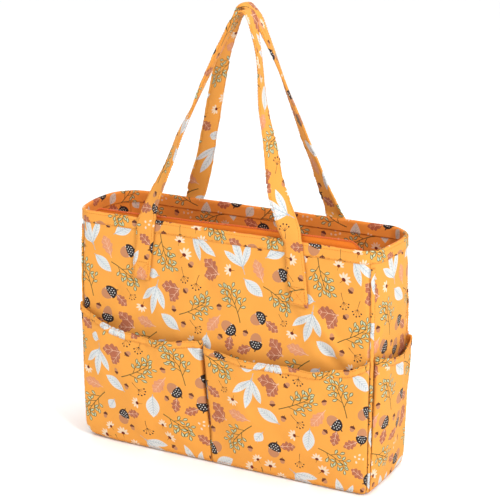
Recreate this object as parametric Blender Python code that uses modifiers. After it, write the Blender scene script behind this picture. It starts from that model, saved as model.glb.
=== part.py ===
"""Knitting bag: a soft printed tote with lined walls, six outside pockets, two straps and a recessed zip.

Frame: origin in the middle of the base, +Z up, the front on -Y, +X to the right seen from the front.
"""
from math import cos, pi, radians, sin

import bmesh
import bpy
from mathutils import Vector

# ---------------------------------------------------------------- driving dimensions (metres)
WIDTH = 0.392            # across the front, at the base
DEPTH = 0.112            # front to back, at the base
HEIGHT = 0.300           # base to rim
STRAP_WIDTH = 0.0254
STRAP_THICK = 0.0022

CLOTH = 0.0014           # outer cloth
LINING = 0.0008
GAP = 0.0003             # clearance between touching pieces
FOOT = 0.0017            # lower edge of the walls, above the base cloth

HEM_HEIGHT = 0.0155      # band round the mouth
HEM_PROUD = 0.0003
PANEL_TOP = HEIGHT - HEM_HEIGHT - GAP

# Corners are tight at the base and open out into a rounded mouth.
FRONT_RADIUS = (0.006, 0.016)
REAR_RADIUS = (0.008, 0.028)
ROUNDING = (0.200, 0.300)      # heights between which the corners open out
END_FLARE = 0.0085             # how far the mouth's ends bow outwards
END_BELLY = 0.0025
FACE_BELLY = 0.0025
SEAM_GAP = 0.0005              # half of the slit between neighbouring panels

CORNER_COLUMNS = 3
WALL_ROWS = 6

BOARD_THICK = 0.0025

# Recessed zip
ZIP_SEAM_Z = 0.2580
ZIP_SEAM_Y = 0.0500
ZIP_HALF = {"front": 0.181, "rear": 0.171}    # half the length of each flap, clear of the rounded corners
FLAP_THICK = 0.0009
FLAP_WIDTH = 0.0360            # cloth strip
TAPE_WIDTH = 0.0110
COIL_R = 0.0012
FLAP_LEAN = 1.6                # degrees off upright, resting towards the wall

# Straps: height of the sewn foot, the fold line above the rim, and the half spacing at each
STRAP_FOOT_Z = 0.2235
STRAP_FOOT_X = 0.1060
STRAP_RIM_X = 0.0965
STRAP_OUT = 0.0007             # clearance of the sewn strap over the cloth
FOLD_CLEAR = 0.0004

# Route of each free strap from the left rim to the right one: x, y, z and the turn of its flat side.
# A turn of 0 faces the wall, 90 lies across the bag.
FRONT_ROUTE = (
    (-0.0965, -0.0578, 0.3004, 0),
    (-0.0925, -0.0566, 0.3150, -20),
    (-0.0740, -0.0515, 0.3590, -42),
    (-0.0540, -0.0432, 0.4130, -54),
    (-0.0370, -0.0362, 0.4520, -72),
    (-0.0225, -0.0290, 0.4880, -80),
    (-0.0070, -0.0212, 0.5240, -86),
    (0.0035, -0.0165, 0.5435, -90),
    (0.0135, -0.0150, 0.5515, -90),
    (0.0230, -0.0168, 0.5430, -88),
    (0.0320, -0.0225, 0.5180, -76),
    (0.0400, -0.0290, 0.4860, -74),
    (0.0475, -0.0365, 0.4500, -84),
    (0.0590, -0.0435, 0.4110, -96),
    (0.0735, -0.0520, 0.3560, -122),
    (0.0915, -0.0566, 0.3150, -160),
    (0.0965, -0.0578, 0.3004, -180),
)
REAR_ROUTE = (
    (-0.0965, 0.0578, 0.3004, 0),
    (-0.0925, 0.0566, 0.3150, 20),
    (-0.0790, 0.0525, 0.3560, 56),
    (-0.0680, 0.0465, 0.3960, 64),
    (-0.0565, 0.0402, 0.4370, 68),
    (-0.0445, 0.0325, 0.4780, 72),
    (-0.0310, 0.0260, 0.5100, 78),
    (-0.0160, 0.0190, 0.5350, 86),
    (-0.0035, 0.0152, 0.5550, 88),
    (0.0110, 0.0175, 0.5420, 92),
    (0.0190, 0.0225, 0.5220, 100),
    (0.0290, 0.0285, 0.4960, 112),
    (0.0410, 0.0355, 0.4560, 124),
    (0.0560, 0.0425, 0.4140, 136),
    (0.0730, 0.0510, 0.3640, 144),
    (0.0915, 0.0566, 0.3150, 160),
    (0.0965, 0.0578, 0.3004, 180),
)
STRAP_SEGMENTS = 46
SQUARE_FROM = 0.08             # share of the route over which its level lower edge turns square to it

# Pockets: face, position along the face at the bottom and top of each side, heights along the scooped
# top (position from 0 to 1, height), and how far the filled pocket stands out.
CORNER_A = WIDTH / 2 - 0.0006
POCKETS = {
    "front_left_pocket": ("front", (-CORNER_A, -CORNER_A), (-0.0114, -0.0208),
                          ((0.0, 0.181), (0.14, 0.171), (0.42, 0.155), (0.68, 0.153), (1.0, 0.161)), 0.011),
    "front_right_pocket": ("front", (-0.0095, -0.0164), (CORNER_A, CORNER_A),
                           ((0.0, 0.156), (0.28, 0.150), (0.62, 0.152), (0.84, 0.159), (1.0, 0.171)), 0.014),
    "rear_left_pocket": ("rear", (0.0114, 0.0208), (CORNER_A, CORNER_A),
                         ((0.0, 0.161), (0.32, 0.153), (0.58, 0.155), (0.86, 0.171), (1.0, 0.181)), 0.011),
    "rear_right_pocket": ("rear", (-CORNER_A, -CORNER_A), (0.0095, 0.0164),
                          ((0.0, 0.171), (0.16, 0.159), (0.38, 0.152), (0.72, 0.150), (1.0, 0.156)), 0.014),
    "left_end_pocket": ("left", (-0.0488, -0.0488), (0.0488, 0.0488),
                        ((0.0, 0.170), (0.5, 0.162), (1.0, 0.175)), 0.010),
    "right_end_pocket": ("right", (-0.0488, -0.0488), (0.0488, 0.0488),
                         ((0.0, 0.175), (0.5, 0.162), (1.0, 0.170)), 0.010),
}
POCKET_FOOT = 0.0035
POCKET_CLOTH = 0.0012
POCKET_LIFT = 0.0005           # clearance behind the sewn edges
POCKET_BAND = 0.0100
POCKET_COLUMNS = 9
POCKET_ROWS = 4

WELT_WIDTH = 0.0050
WELT_THICK = 0.0012
WELT_SPAN = (0.0040, 0.2740)

CLOTH_ORANGE = (1.0, 0.40, 0.07)
LINING_ORANGE = (0.86, 0.28, 0.05)
TAPE_ORANGE = (0.94, 0.22, 0.02)
THREAD_ORANGE = (0.85, 0.30, 0.04)
BOARD_GREY = (0.32, 0.31, 0.29)
METAL = (0.82, 0.72, 0.45)


# ---------------------------------------------------------------- scene and materials
def clear_scene():
    for old in list(bpy.data.objects):
        bpy.data.objects.remove(old, do_unlink=True)


def new_collection(name):
    group = bpy.data.collections.new(name)
    bpy.context.scene.collection.children.link(group)
    return group


def material(name, colour, roughness=0.85, metallic=0.0):
    made = bpy.data.materials.get(name)
    if made:
        return made
    made = bpy.data.materials.new(name)
    made.use_nodes = True
    shader = made.node_tree.nodes["Principled BSDF"]
    shader.inputs["Base Color"].default_value = (*colour, 1.0)
    shader.inputs["Roughness"].default_value = roughness
    shader.inputs["Metallic"].default_value = metallic
    return made


def cloth():
    return material("printed_cloth", CLOTH_ORANGE)


def lining_cloth():
    return material("lining_cloth", LINING_ORANGE)


def tape_cloth():
    return material("zipper_tape", TAPE_ORANGE)


def finish(obj, group, finish_material):
    """Puts an object in its collection with its one material."""
    for holder in list(obj.users_collection):
        holder.objects.unlink(obj)
    group.objects.link(obj)
    obj.data.materials.clear()
    obj.data.materials.append(finish_material)
    return obj


# ---------------------------------------------------------------- the bag's wall surface
def smooth(low, high, x):
    s = min(1.0, max(0.0, (x - low) / (high - low)))
    return s * s * (3 - 2 * s)


def corner_radius(rear, z):
    low, high = REAR_RADIUS if rear else FRONT_RADIUS
    return low + (high - low) * smooth(*ROUNDING, z)


def face_halves(face):
    """Half length of a face, and how far it stands from the middle."""
    if face in ("front", "rear"):
        return WIDTH / 2, DEPTH / 2
    return DEPTH / 2, WIDTH / 2


def is_rear_side(face, a):
    """Whether the nearer corner of a place on a face is one of the two rear corners."""
    if face == "front":
        return False
    if face == "rear":
        return True
    return a > 0 if face == "right" else a < 0


def wall(face, a, z, out=0.0):
    """A point on the wall: a runs along the face, left to right seen from outside it; out is outwards."""
    half, stand = face_halves(face)
    t = max(-1.0, min(1.0, a / half))
    radius = max(corner_radius(is_rear_side(face, a), z) + out, 0.001)
    along = abs(t) * (half + out)
    stand += out
    to_corner = half + out - along
    if to_corner < radius:
        turn = pi / 4 * (1 - to_corner / radius)
        along = half + out - radius + radius * sin(turn)
        stand -= radius * (1 - cos(turn))
    bow = cos(pi * t / 2)
    if face in ("front", "rear"):
        stand += FACE_BELLY * bow * sin(pi * z / HEIGHT)
    else:
        stand += END_FLARE * bow * smooth(0.08, HEIGHT, z) + END_BELLY * bow * sin(pi * z / HEIGHT)
    along = along if t >= 0 else -along
    return {
        "front": Vector((along, -stand, z)),
        "rear": Vector((-along, stand, z)),
        "right": Vector((stand, along, z)),
        "left": Vector((-stand, -along, z)),
    }[face]


def wall_column(face, u, columns, z):
    """Place along the whole face for a grid position u from 0 to 1, closer together round the corners."""
    half = face_halves(face)[0]
    reach = half - SEAM_GAP
    left = corner_radius(is_rear_side(face, -half), z)
    right = corner_radius(is_rear_side(face, half), z)
    share = CORNER_COLUMNS / columns
    if u < share:
        return -reach + (left - SEAM_GAP) * u / share
    if u > 1 - share:
        return reach - (right - SEAM_GAP) * (1 - u) / share
    middle = (u - share) / (1 - 2 * share)
    return -(half - left) + (2 * half - left - right) * middle


# ---------------------------------------------------------------- sheets of cloth
def cloth_grid(name, columns, rows, place, thickness, group, finish_material):
    """A grid placed by a function of (u, v) from 0 to 1, thickened inwards into a closed sheet."""
    mesh = bpy.data.meshes.new(name)
    grid = bmesh.new()
    bmesh.ops.create_grid(grid, x_segments=columns, y_segments=rows, size=1.0)
    for vert in grid.verts:
        vert.co = place((vert.co.x + 1) / 2, (vert.co.y + 1) / 2)
    grid.to_mesh(mesh)
    grid.free()
    sheet = bpy.data.objects.new(name, mesh)
    finish(sheet, group, finish_material)
    thicken = sheet.modifiers.new("thickness", "SOLIDIFY")
    thicken.thickness = thickness
    thicken.offset = -1
    mesh.shade_smooth()
    mesh.set_sharp_from_angle(angle=radians(40))
    return sheet


def wall_sheet(name, face, z_span, out, thickness, group, finish_material, rows=WALL_ROWS):
    """A sheet as wide as its face."""
    columns = 12 if face in ("front", "rear") else 11

    def place(u, v):
        z = z_span[0] + (z_span[1] - z_span[0]) * v
        return wall(face, wall_column(face, u, columns, z), z, out)

    return cloth_grid(name, columns, rows, place, thickness, group, finish_material)


FACES = {"front": "front", "rear": "rear", "left_end": "left", "right_end": "right"}


def build_walls(group):
    for label, face in FACES.items():
        wall_sheet(f"{label}_panel", face, (FOOT, PANEL_TOP), 0.0, CLOTH, group, cloth())
        wall_sheet(f"{label}_lining", face, (FOOT, PANEL_TOP), -CLOTH - GAP, LINING, group, lining_cloth())
        band_thick = HEM_PROUD * 2 + CLOTH + GAP + LINING
        wall_sheet(f"{label}_hem_band", face, (PANEL_TOP + GAP, HEIGHT), HEM_PROUD, band_thick, group,
                   cloth(), rows=1)


def build_welts(group):
    """The pinched corner folds lie flat on the end panels, just behind each corner."""
    ends = {
        "front_left_corner_welt": ("left", 1),
        "front_right_corner_welt": ("right", -1),
        "rear_left_corner_welt": ("left", -1),
        "rear_right_corner_welt": ("right", 1),
    }
    for name, (face, side) in ends.items():
        near = DEPTH / 2 - SEAM_GAP
        columns = 3

        def place(u, v, face=face, side=side, near=near):
            a = side * (near - WELT_WIDTH * (u if side < 0 else 1 - u))
            z = WELT_SPAN[0] + (WELT_SPAN[1] - WELT_SPAN[0]) * v
            return wall(face, a, z, 0.0005 + WELT_THICK)

        cloth_grid(name, columns, WALL_ROWS, place, WELT_THICK, group, cloth())


# ---------------------------------------------------------------- base
def outline_plate(name, inset, z_low, thickness, group, finish_material):
    """A flat plate with the bag's plan, inset all round."""
    points = []
    for face in ("front", "right", "rear", "left"):
        half = face_halves(face)[0]
        columns = 10
        for i in range(columns):
            a = wall_column(face, i / columns, columns, 0.0)
            if i == 0:
                a = -half
            points.append(wall(face, a, 0.0, -inset))
    curve = bpy.data.curves.new(name, "CURVE")
    curve.dimensions = "2D"
    curve.fill_mode = "BOTH"
    curve.extrude = thickness / 2
    line = curve.splines.new("POLY")
    line.points.add(len(points) - 1)
    for spot, point in zip(line.points, points):
        spot.co = (point.x, point.y, 0.0, 1.0)
    line.use_cyclic_u = True
    plate = bpy.data.objects.new(name, curve)
    plate.location.z = z_low + thickness / 2
    return finish(plate, group, finish_material)


def build_base(group):
    outline_plate("base_panel", 0.0002, 0.0, CLOTH, group, cloth())
    inner = CLOTH + GAP + LINING + GAP
    outline_plate("base_board", inner + GAP, FOOT, BOARD_THICK, group, material("base_board", BOARD_GREY))
    outline_plate("base_lining", inner + GAP, FOOT + BOARD_THICK + GAP, LINING, group, lining_cloth())


# ---------------------------------------------------------------- pockets
def along_points(points, u):
    """Smooth height through a short list of (position, height) points."""
    for (u0, z0), (u1, z1) in zip(points, points[1:]):
        if u <= u1:
            return z0 + (z1 - z0) * smooth(u0, u1, u) * 0.5 + (z1 - z0) * (u - u0) / (u1 - u0) * 0.5
    return points[-1][1]


def pocket_place(name, u, z, out):
    """A point on a pocket, u from 0 to 1 along its face; the pocket stands out most near its top."""
    face, left, right, top, stand_out = POCKETS[name]
    top_z = along_points(top, u)
    v = min(1.0, max(0.0, (z - POCKET_FOOT) / (top_z - POCKET_FOOT)))
    a_left = left[0] + (left[1] - left[0]) * v
    a_right = right[0] + (right[1] - right[0]) * v
    a = a_left + (a_right - a_left) * u
    across = max(0.0, sin(pi * u)) ** 0.55
    filled = 1 - (1 - v) ** 2.2
    return wall(face, a, z, out + stand_out * across * filled)


def pocket_column(name, u):
    """Grid columns gather where a front or rear pocket wraps its outer corner."""
    face, left, right, _, _ = POCKETS[name]
    if face in ("left", "right"):
        return u
    length = abs(right[0] - left[0])
    wrap = 0.008 / length
    share = 2 / POCKET_COLUMNS
    corner_first = abs(left[0]) > abs(right[0])
    s = u if corner_first else 1 - u
    s = s / share * wrap if s < share else wrap + (s - share) / (1 - share) * (1 - wrap)
    return s if corner_first else 1 - s


def build_pockets(group):
    for name, (face, left, right, top, stand_out) in POCKETS.items():
        def body(u, v, name=name, top=top):
            u = pocket_column(name, u)
            high = along_points(top, u) - POCKET_BAND - GAP
            return pocket_place(name, u, POCKET_FOOT + (high - POCKET_FOOT) * v, POCKET_LIFT + POCKET_CLOTH)

        def band(u, v, name=name, top=top):
            u = pocket_column(name, u)
            high = along_points(top, u)
            return pocket_place(name, u, high - POCKET_BAND * (1 - v), POCKET_LIFT + POCKET_CLOTH + 0.0006)

        cloth_grid(name, POCKET_COLUMNS, POCKET_ROWS, body, POCKET_CLOTH, group, cloth())
        cloth_grid(name + "_band", POCKET_COLUMNS, 1, band, POCKET_CLOTH + 0.0006, group, cloth())


# ---------------------------------------------------------------- straps
def route_point(route, s):
    """Smooth (Catmull-Rom) position and turn along a route, s from 0 to 1."""
    spans = len(route) - 1
    place = min(s * spans, spans - 1e-9)
    i = int(place)
    f = place - i
    p0, p1, p2, p3 = (Vector(route[min(max(i + k, 0), spans)]) for k in (-1, 0, 1, 2))
    if i == 0:
        p0 = 2 * p1 - p2
    if i == spans - 1:
        p3 = 2 * p2 - p1
    return 0.5 * (2 * p1 + (p2 - p0) * f + (2 * p0 - 5 * p1 + 4 * p2 - p3) * f ** 2
                  + (3 * p1 - p0 - 3 * p2 + p3) * f ** 3)


def strap_frame(route, s):
    """Centre of the strap and the unit vector across it."""
    here = route_point(route, s)
    step = 0.002
    ahead = route_point(route, min(1.0, s + step))
    behind = route_point(route, max(0.0, s - step))
    run = Vector(ahead[:3]) - Vector(behind[:3])
    run.normalize()
    turn = radians(here[3])
    across = Vector((cos(turn), sin(turn), 0.0))
    square = smooth(0.0, SQUARE_FROM, min(s, 1 - s))
    across -= run * across.dot(run) * square
    return Vector(here[:3]), across.normalized()


def build_strap(name, route, hinge_sign, group):
    """A free strap, with its origin on the fold line at the rim."""
    fold = Vector((0.0, hinge_sign * (DEPTH / 2 + STRAP_OUT + STRAP_THICK + FOLD_CLEAR), HEIGHT))

    def place(u, v):
        centre, across = strap_frame(route, u)
        return centre + across * STRAP_WIDTH * (v - 0.5) - fold

    strap = cloth_grid(name, STRAP_SEGMENTS, 2, place, STRAP_THICK, group, cloth())
    strap.modifiers["thickness"].offset = 0
    strap.location = fold


def build_strap_ends(group):
    """The stretch of each strap sewn flat on its panel, slanting in a little towards the rim."""
    for label, face in (("front", "front"), ("rear", "rear")):
        for side, sign in (("left", -1), ("right", 1)):
            facing = 1 if face == "front" else -1

            def place(u, v, face=face, sign=sign, facing=facing):
                middle = sign * (STRAP_FOOT_X + (STRAP_RIM_X - STRAP_FOOT_X) * v)
                a = facing * middle + STRAP_WIDTH * (u - 0.5)
                z = STRAP_FOOT_Z + (HEIGHT - FOLD_CLEAR - STRAP_FOOT_Z) * v
                return wall(face, a, z, STRAP_OUT + STRAP_THICK)

            cloth_grid(f"{label}_strap_{side}_end", 2, 4, place, STRAP_THICK, group, cloth())


STITCH_R = 0.00035
STITCH_BOX = (0.0200, 0.0230)          # width and height of each box of stitching
STITCH_FOOT = STRAP_FOOT_Z + 0.0025


def closed_thread(name, ring, group):
    """A closed loop of thread through the points of a ring."""
    curve = bpy.data.curves.new(name, "CURVE")
    curve.dimensions = "3D"
    curve.bevel_depth = STITCH_R
    curve.bevel_resolution = 0
    line = curve.splines.new("POLY")
    line.points.add(len(ring) - 1)
    for spot, point in zip(line.points, ring):
        spot.co = (*point, 1.0)
    line.use_cyclic_u = True
    loop = bpy.data.objects.new(name, curve)
    finish(loop, group, material("thread", THREAD_ORANGE, 0.6))


def build_strap_stitches(group):
    """A box of thread on each sewn strap end."""
    out = STRAP_OUT + STRAP_THICK + GAP + STITCH_R + 0.0002
    corners = ((-0.5, 0.0), (0.5, 0.0), (0.5, 1.0), (-0.5, 1.0))
    per_side = 3
    for face, facing in (("front", 1), ("rear", -1)):
        for side, sign in (("left", -1), ("right", 1)):
            ring = []
            for (u0, v0), (u1, v1) in zip(corners, corners[1:] + corners[:1]):
                for k in range(per_side):
                    f = k / per_side
                    z = STITCH_FOOT + STITCH_BOX[1] * (v0 + (v1 - v0) * f)
                    rise = (z - STRAP_FOOT_Z) / (HEIGHT - STRAP_FOOT_Z)
                    middle = facing * sign * (STRAP_FOOT_X + (STRAP_RIM_X - STRAP_FOOT_X) * rise)
                    ring.append(wall(face, middle + STITCH_BOX[0] * (u0 + (u1 - u0) * f), z, out))
            closed_thread(f"{face}_strap_{side}_stitches", ring, group)


# ---------------------------------------------------------------- zipper
def box(name, low, high, group, finish_material, bevel=0.0):
    """A box between two corners, given about the origin of its own frame."""
    low, high = Vector(low), Vector(high)
    mesh = bpy.data.meshes.new(name)
    shape = bmesh.new()
    bmesh.ops.create_cube(shape, size=1.0)
    bmesh.ops.scale(shape, vec=high - low, verts=shape.verts)
    bmesh.ops.translate(shape, vec=(low + high) / 2, verts=shape.verts)
    shape.to_mesh(mesh)
    shape.free()
    made = bpy.data.objects.new(name, mesh)
    finish(made, group, finish_material)
    if bevel:
        rounding = made.modifiers.new("rounding", "BEVEL")
        rounding.width = bevel
        rounding.segments = 2
    return made


def rod(name, start, end, radius, group, finish_material, resolution=2):
    """A straight round bar between two points."""
    curve = bpy.data.curves.new(name, "CURVE")
    curve.dimensions = "3D"
    curve.bevel_depth = radius
    curve.bevel_resolution = resolution
    curve.use_fill_caps = True
    line = curve.splines.new("POLY")
    line.points.add(1)
    line.points[0].co = (*start, 1.0)
    line.points[1].co = (*end, 1.0)
    made = bpy.data.objects.new(name, curve)
    return finish(made, group, finish_material)


def hinge_empty(name, location, group, tilt=0.0):
    """An empty on a fold line, its Z leaning by tilt about X, to which a flap's pieces are parented."""
    axis = bpy.data.objects.new(name, None)
    axis.location = location
    axis.rotation_euler.x = tilt
    group.objects.link(axis)
    return axis


FLAP_START = 0.0006
TAPE_START = FLAP_START + FLAP_WIDTH + GAP
COIL_Z = TAPE_START + TAPE_WIDTH + GAP + COIL_R
SLIDER_X = 0.158
SLIDER_SIZE = Vector((0.0130, 0.0062, 0.0100))
PULL_LENGTH = 0.026
PULL_WIDTH = 0.0062
PULL_THICK = 0.0012


def build_flap(side, sign, tilt, group):
    """One zipped half of the closure, built along its own Z from its fold line."""
    fold = hinge_empty(f"{side}_flap_fold", (0.0, sign * ZIP_SEAM_Y, ZIP_SEAM_Z), group, tilt)
    half = FLAP_THICK / 2
    reach = ZIP_HALF[side]
    pieces = [
        box(f"{side}_zipper_flap", (-reach, -half, FLAP_START), (reach, half, FLAP_START + FLAP_WIDTH), group,
            tape_cloth()),
        box(f"{side}_zipper_tape", (-reach, -half, TAPE_START), (reach, half, TAPE_START + TAPE_WIDTH), group,
            tape_cloth()),
        rod(f"{side}_zipper_coil", (-reach, 0.0, COIL_Z), (reach, 0.0, COIL_Z), COIL_R, group,
            material("zipper_coil", TAPE_ORANGE, 0.45)),
    ]
    for piece in pieces:
        piece.parent = fold
    return fold


def build_slider(fold, group, cutters):
    """The slider grips the rear coil, with a channel for the coil and a slot for the tape."""
    metal = material("slider_metal", METAL, 0.3, 1.0)
    size = SLIDER_SIZE
    middle_z = COIL_Z + 0.0006
    slider = box("zipper_slider", (-size.x / 2, -size.y / 2, middle_z - size.z / 2),
                 (size.x / 2, size.y / 2, middle_z + size.z / 2), group, metal, bevel=0.0008)
    slider.location.x = SLIDER_X
    slider.parent = fold
    reach = size.x
    slot = box("slider_slot_cutter", (-reach, -FLAP_THICK / 2 - GAP, COIL_Z - size.z),
               (reach, FLAP_THICK / 2 + GAP, COIL_Z), cutters, metal)
    channel = box("slider_channel_cutter", (-reach, -COIL_R - GAP, COIL_Z - COIL_R - GAP),
                  (reach, COIL_R + GAP, COIL_Z + COIL_R + GAP), cutters, metal)
    for cutter in (slot, channel):
        cutter.location.x = SLIDER_X
        cutter.parent = fold
        cutter.hide_render = True
        cutter.display_type = "WIRE"
        cut = slider.modifiers.new(cutter.name, "BOOLEAN")
        cut.operation = "DIFFERENCE"
        cut.object = cutter


def build_pull(fold, group):
    """A flat pull on the slider's inner face, lying along the tape; its origin is on its pivot."""
    metal = material("slider_metal", METAL, 0.3, 1.0)
    half = PULL_THICK / 2
    pull = box("zipper_pull", (-PULL_LENGTH, -half, -PULL_WIDTH / 2), (0.0, half, PULL_WIDTH / 2), group,
               metal, bevel=0.0004)
    pull.location = (SLIDER_X, SLIDER_SIZE.y / 2 + GAP + half, COIL_Z)
    pull.parent = fold


TAIL_X = 0.1975
TAIL_HALF = 0.0120
TAIL_LENGTH = 0.0400


def build_tail(group):
    """Tape past the end stop, tucked inside the right end; it folds about a line at its top."""
    fold = bpy.data.objects.new("tail_fold", None)
    fold.location = (TAIL_X, 0.0, ZIP_SEAM_Z)
    fold.rotation_euler.y = radians(FLAP_LEAN)
    group.objects.link(fold)
    tail = box("zipper_tail", (-0.0008, -TAIL_HALF, -TAIL_LENGTH), (0.0008, TAIL_HALF, -FLAP_START), group,
               tape_cloth())
    clip = box("zipper_tail_clip", (-0.0014, -TAIL_HALF * 0.8, -TAIL_LENGTH - 0.0065),
               (0.0014, TAIL_HALF * 0.8, -TAIL_LENGTH - GAP), group, material("slider_metal", METAL, 0.3, 1.0),
               bevel=0.0006)
    tail.parent = fold
    clip.parent = fold


def build_zipper(group, cutters):
    seam_deep = 0.0018
    for side, sign in (("front", -1), ("rear", 1)):
        inner = sign * (ZIP_SEAM_Y + FLAP_THICK / 2 + GAP)
        outer = inner + sign * seam_deep
        reach = ZIP_HALF[side]
        box(f"{side}_zipper_seam", (-reach, min(inner, outer), ZIP_SEAM_Z - 0.0120),
            (reach, max(inner, outer), ZIP_SEAM_Z - FLAP_START), group, tape_cloth())
    build_flap("front", -1, radians(FLAP_LEAN), group)
    rear = build_flap("rear", 1, pi - radians(FLAP_LEAN), group)
    build_slider(rear, group, cutters)
    build_pull(rear, group)
    build_tail(group)


# ---------------------------------------------------------------- the bag
def build():
    clear_scene()
    bag = new_collection("knitting_bag")
    cutters = new_collection("cutters")
    build_walls(bag)
    build_welts(bag)
    build_base(bag)
    build_pockets(bag)
    build_strap("front_strap", FRONT_ROUTE, -1, bag)
    build_strap("rear_strap", REAR_ROUTE, 1, bag)
    build_strap_ends(bag)
    build_strap_stitches(bag)
    build_zipper(bag, cutters)


build()
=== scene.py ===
"""The looks of the knitting bag: printed cloth, folded hems, scooped pockets, sewn straps and a recessed zip.

Cloth is drawn flat first. A print of leaves, acorns and small flowers is cut into each flat piece, so that
every motif is part of the cloth, and the piece is then laid over the bag's curved walls.
Lengths are in metres, and motifs are drawn in millimetres.
"""
import random
from math import cos, pi, radians, sin, sqrt, tau

import bpy
import numpy as np
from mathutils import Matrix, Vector
from mathutils.geometry import delaunay_2d_cdt


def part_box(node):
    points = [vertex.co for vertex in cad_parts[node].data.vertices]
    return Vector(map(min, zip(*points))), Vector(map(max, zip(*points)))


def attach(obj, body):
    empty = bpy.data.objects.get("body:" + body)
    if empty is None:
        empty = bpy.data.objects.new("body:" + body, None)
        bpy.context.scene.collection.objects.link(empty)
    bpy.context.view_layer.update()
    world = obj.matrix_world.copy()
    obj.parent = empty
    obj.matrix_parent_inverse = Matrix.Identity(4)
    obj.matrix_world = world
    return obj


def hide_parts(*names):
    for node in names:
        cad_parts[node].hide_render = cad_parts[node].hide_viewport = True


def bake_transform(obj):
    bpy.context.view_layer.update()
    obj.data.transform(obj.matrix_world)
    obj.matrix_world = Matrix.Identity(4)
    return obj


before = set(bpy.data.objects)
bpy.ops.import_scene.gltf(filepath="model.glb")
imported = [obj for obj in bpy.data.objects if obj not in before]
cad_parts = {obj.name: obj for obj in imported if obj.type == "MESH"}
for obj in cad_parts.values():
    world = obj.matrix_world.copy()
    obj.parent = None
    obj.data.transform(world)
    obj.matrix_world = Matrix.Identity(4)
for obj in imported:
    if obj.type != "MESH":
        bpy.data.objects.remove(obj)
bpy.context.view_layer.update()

MM = 0.001

# ---------------------------------------------------------------- sizes read from the frame
BASE_INSET = 0.0002
base_low, base_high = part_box("base_panel")
WIDTH = base_high.x - base_low.x + 2 * BASE_INSET
DEPTH = base_high.y - base_low.y + 2 * BASE_INSET
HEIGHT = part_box("front_hem_band")[1].z
HEM_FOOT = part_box("front_hem_band")[0].z
PERIMETER = 2 * (WIDTH + DEPTH)

# ---------------------------------------------------------------- the shape of the walls
FRONT_RADIUS = (0.006, 0.016)  # corner radius low down and at the rim
REAR_RADIUS = (0.008, 0.028)
ROUNDING = (0.200, 0.300)      # heights between which the corners open out
END_FLARE = 0.0085             # how far the end walls lean out at the rim
END_BELLY = 0.0025
FACE_BELLY = 0.0025
BASE_ROUND = 0.0060
WALL_FOOT = 0.0015
CORNER_SLACK = 0.0022          # how far the cloth sinks in at a bottom corner
LOOSE_CORNER_SLACK = 0.0048    # and at the front left one, where it hangs loose of its board
SLACK_RISE = 0.021
SLACK_REACH = 0.050
SLACK_ROUNDING = 2.2           # how much the corner's radius grows with its slack

CLOTH = 0.0009
LINING_DEPTH = 0.0019          # from the outer face of the cloth to the back of the lining
LINING = 0.0006

FACES = ("front", "right", "rear", "left")
FACE_START = {"front": 0.0, "right": WIDTH, "rear": WIDTH + DEPTH, "left": 2 * WIDTH + DEPTH}
NODE_LABEL = {"front": "front", "right": "right_end", "rear": "rear", "left": "left_end"}
LONG_FACES = ("front", "rear")
# the corners at a face's left and right end, seen from outside
FACE_CORNERS = {"front": ("front_left", "front_right"), "right": ("front_right", "rear_right"),
                "rear": ("rear_right", "rear_left"), "left": ("rear_left", "front_left")}


def smooth(low, high, x):
    s = np.clip((np.asarray(x, float) - low) / (high - low), 0.0, 1.0)
    return s * s * (3 - 2 * s)


def unit(vectors):
    return vectors / np.linalg.norm(vectors, axis=-1)[..., None]


def face_halves(face):
    """Half length of a face, and how far it stands from the middle."""
    return (WIDTH / 2, DEPTH / 2) if face in LONG_FACES else (DEPTH / 2, WIDTH / 2)


def by_corner(face, a, value_at):
    """The value of value_at(corner) for the corner nearer to each point of a face."""
    left, right = FACE_CORNERS[face]
    return np.where(a < 0, value_at(left), value_at(right))


def corner_radius(face, a, z):
    """Corners open out towards the rim, and the rear ones more than the front ones."""
    def radius(corner):
        low, high = REAR_RADIUS if corner.startswith("rear") else FRONT_RADIUS
        return low + (high - low) * smooth(*ROUNDING, z)

    return by_corner(face, a, radius)


def corner_slack(face, a, z):
    """How far the cloth sinks in at the bottom corners, which the board does not quite fill."""
    depth = by_corner(face, a, lambda corner: LOOSE_CORNER_SLACK if corner == "front_left" else CORNER_SLACK)
    return depth * np.clip(1 - z / SLACK_RISE, 0.0, 1.0) ** 2


def base_round(z):
    """How far the wall's foot turns in under the bag."""
    rise = np.clip(BASE_ROUND - z, 0.0, BASE_ROUND)
    return BASE_ROUND - np.sqrt(BASE_ROUND ** 2 - rise ** 2)


def swell_terms(seed, count, rounds, rises):
    """Waves round the bag and up it, whole numbers of them round it so that the start meets the end."""
    draw = random.Random(seed)
    return [(draw.uniform(0.6, 1.0), draw.randint(*rounds), draw.uniform(*rises), draw.uniform(0, tau))
            for _ in range(count)]


SWELLS = swell_terms(11, 9, (4, 11), (-3.0, 3.0))
CREASES = swell_terms(23, 10, (18, 34), (-16.0, 16.0))
SWELL_DEPTH = 0.0021
CREASE_DEPTH = 0.00050


def waves(terms, s, z):
    total = sum(size * np.sin(turns * tau * s / PERIMETER + rise * pi * z / HEIGHT + phase)
                for size, turns, rise, phase in terms)
    return total / sqrt(len(terms))


def fold_lines(seed, anchors, fan, count, reach, wide, deep):
    """Soft folds running out from anchor points: start, direction, length, width and depth of each."""
    draw = random.Random(seed)
    lines = []
    for a, z, aim in anchors:
        for _ in range(count):
            turn = radians(aim + draw.uniform(-fan, fan))
            start = a + draw.uniform(-0.008, 0.008), z + draw.uniform(-0.006, 0.006)
            size = draw.uniform(*reach), draw.uniform(*wide)
            lines.append((*start, cos(turn), sin(turn), *size, draw.uniform(*deep) * draw.choice((-1, 1))))
    return lines


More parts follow.
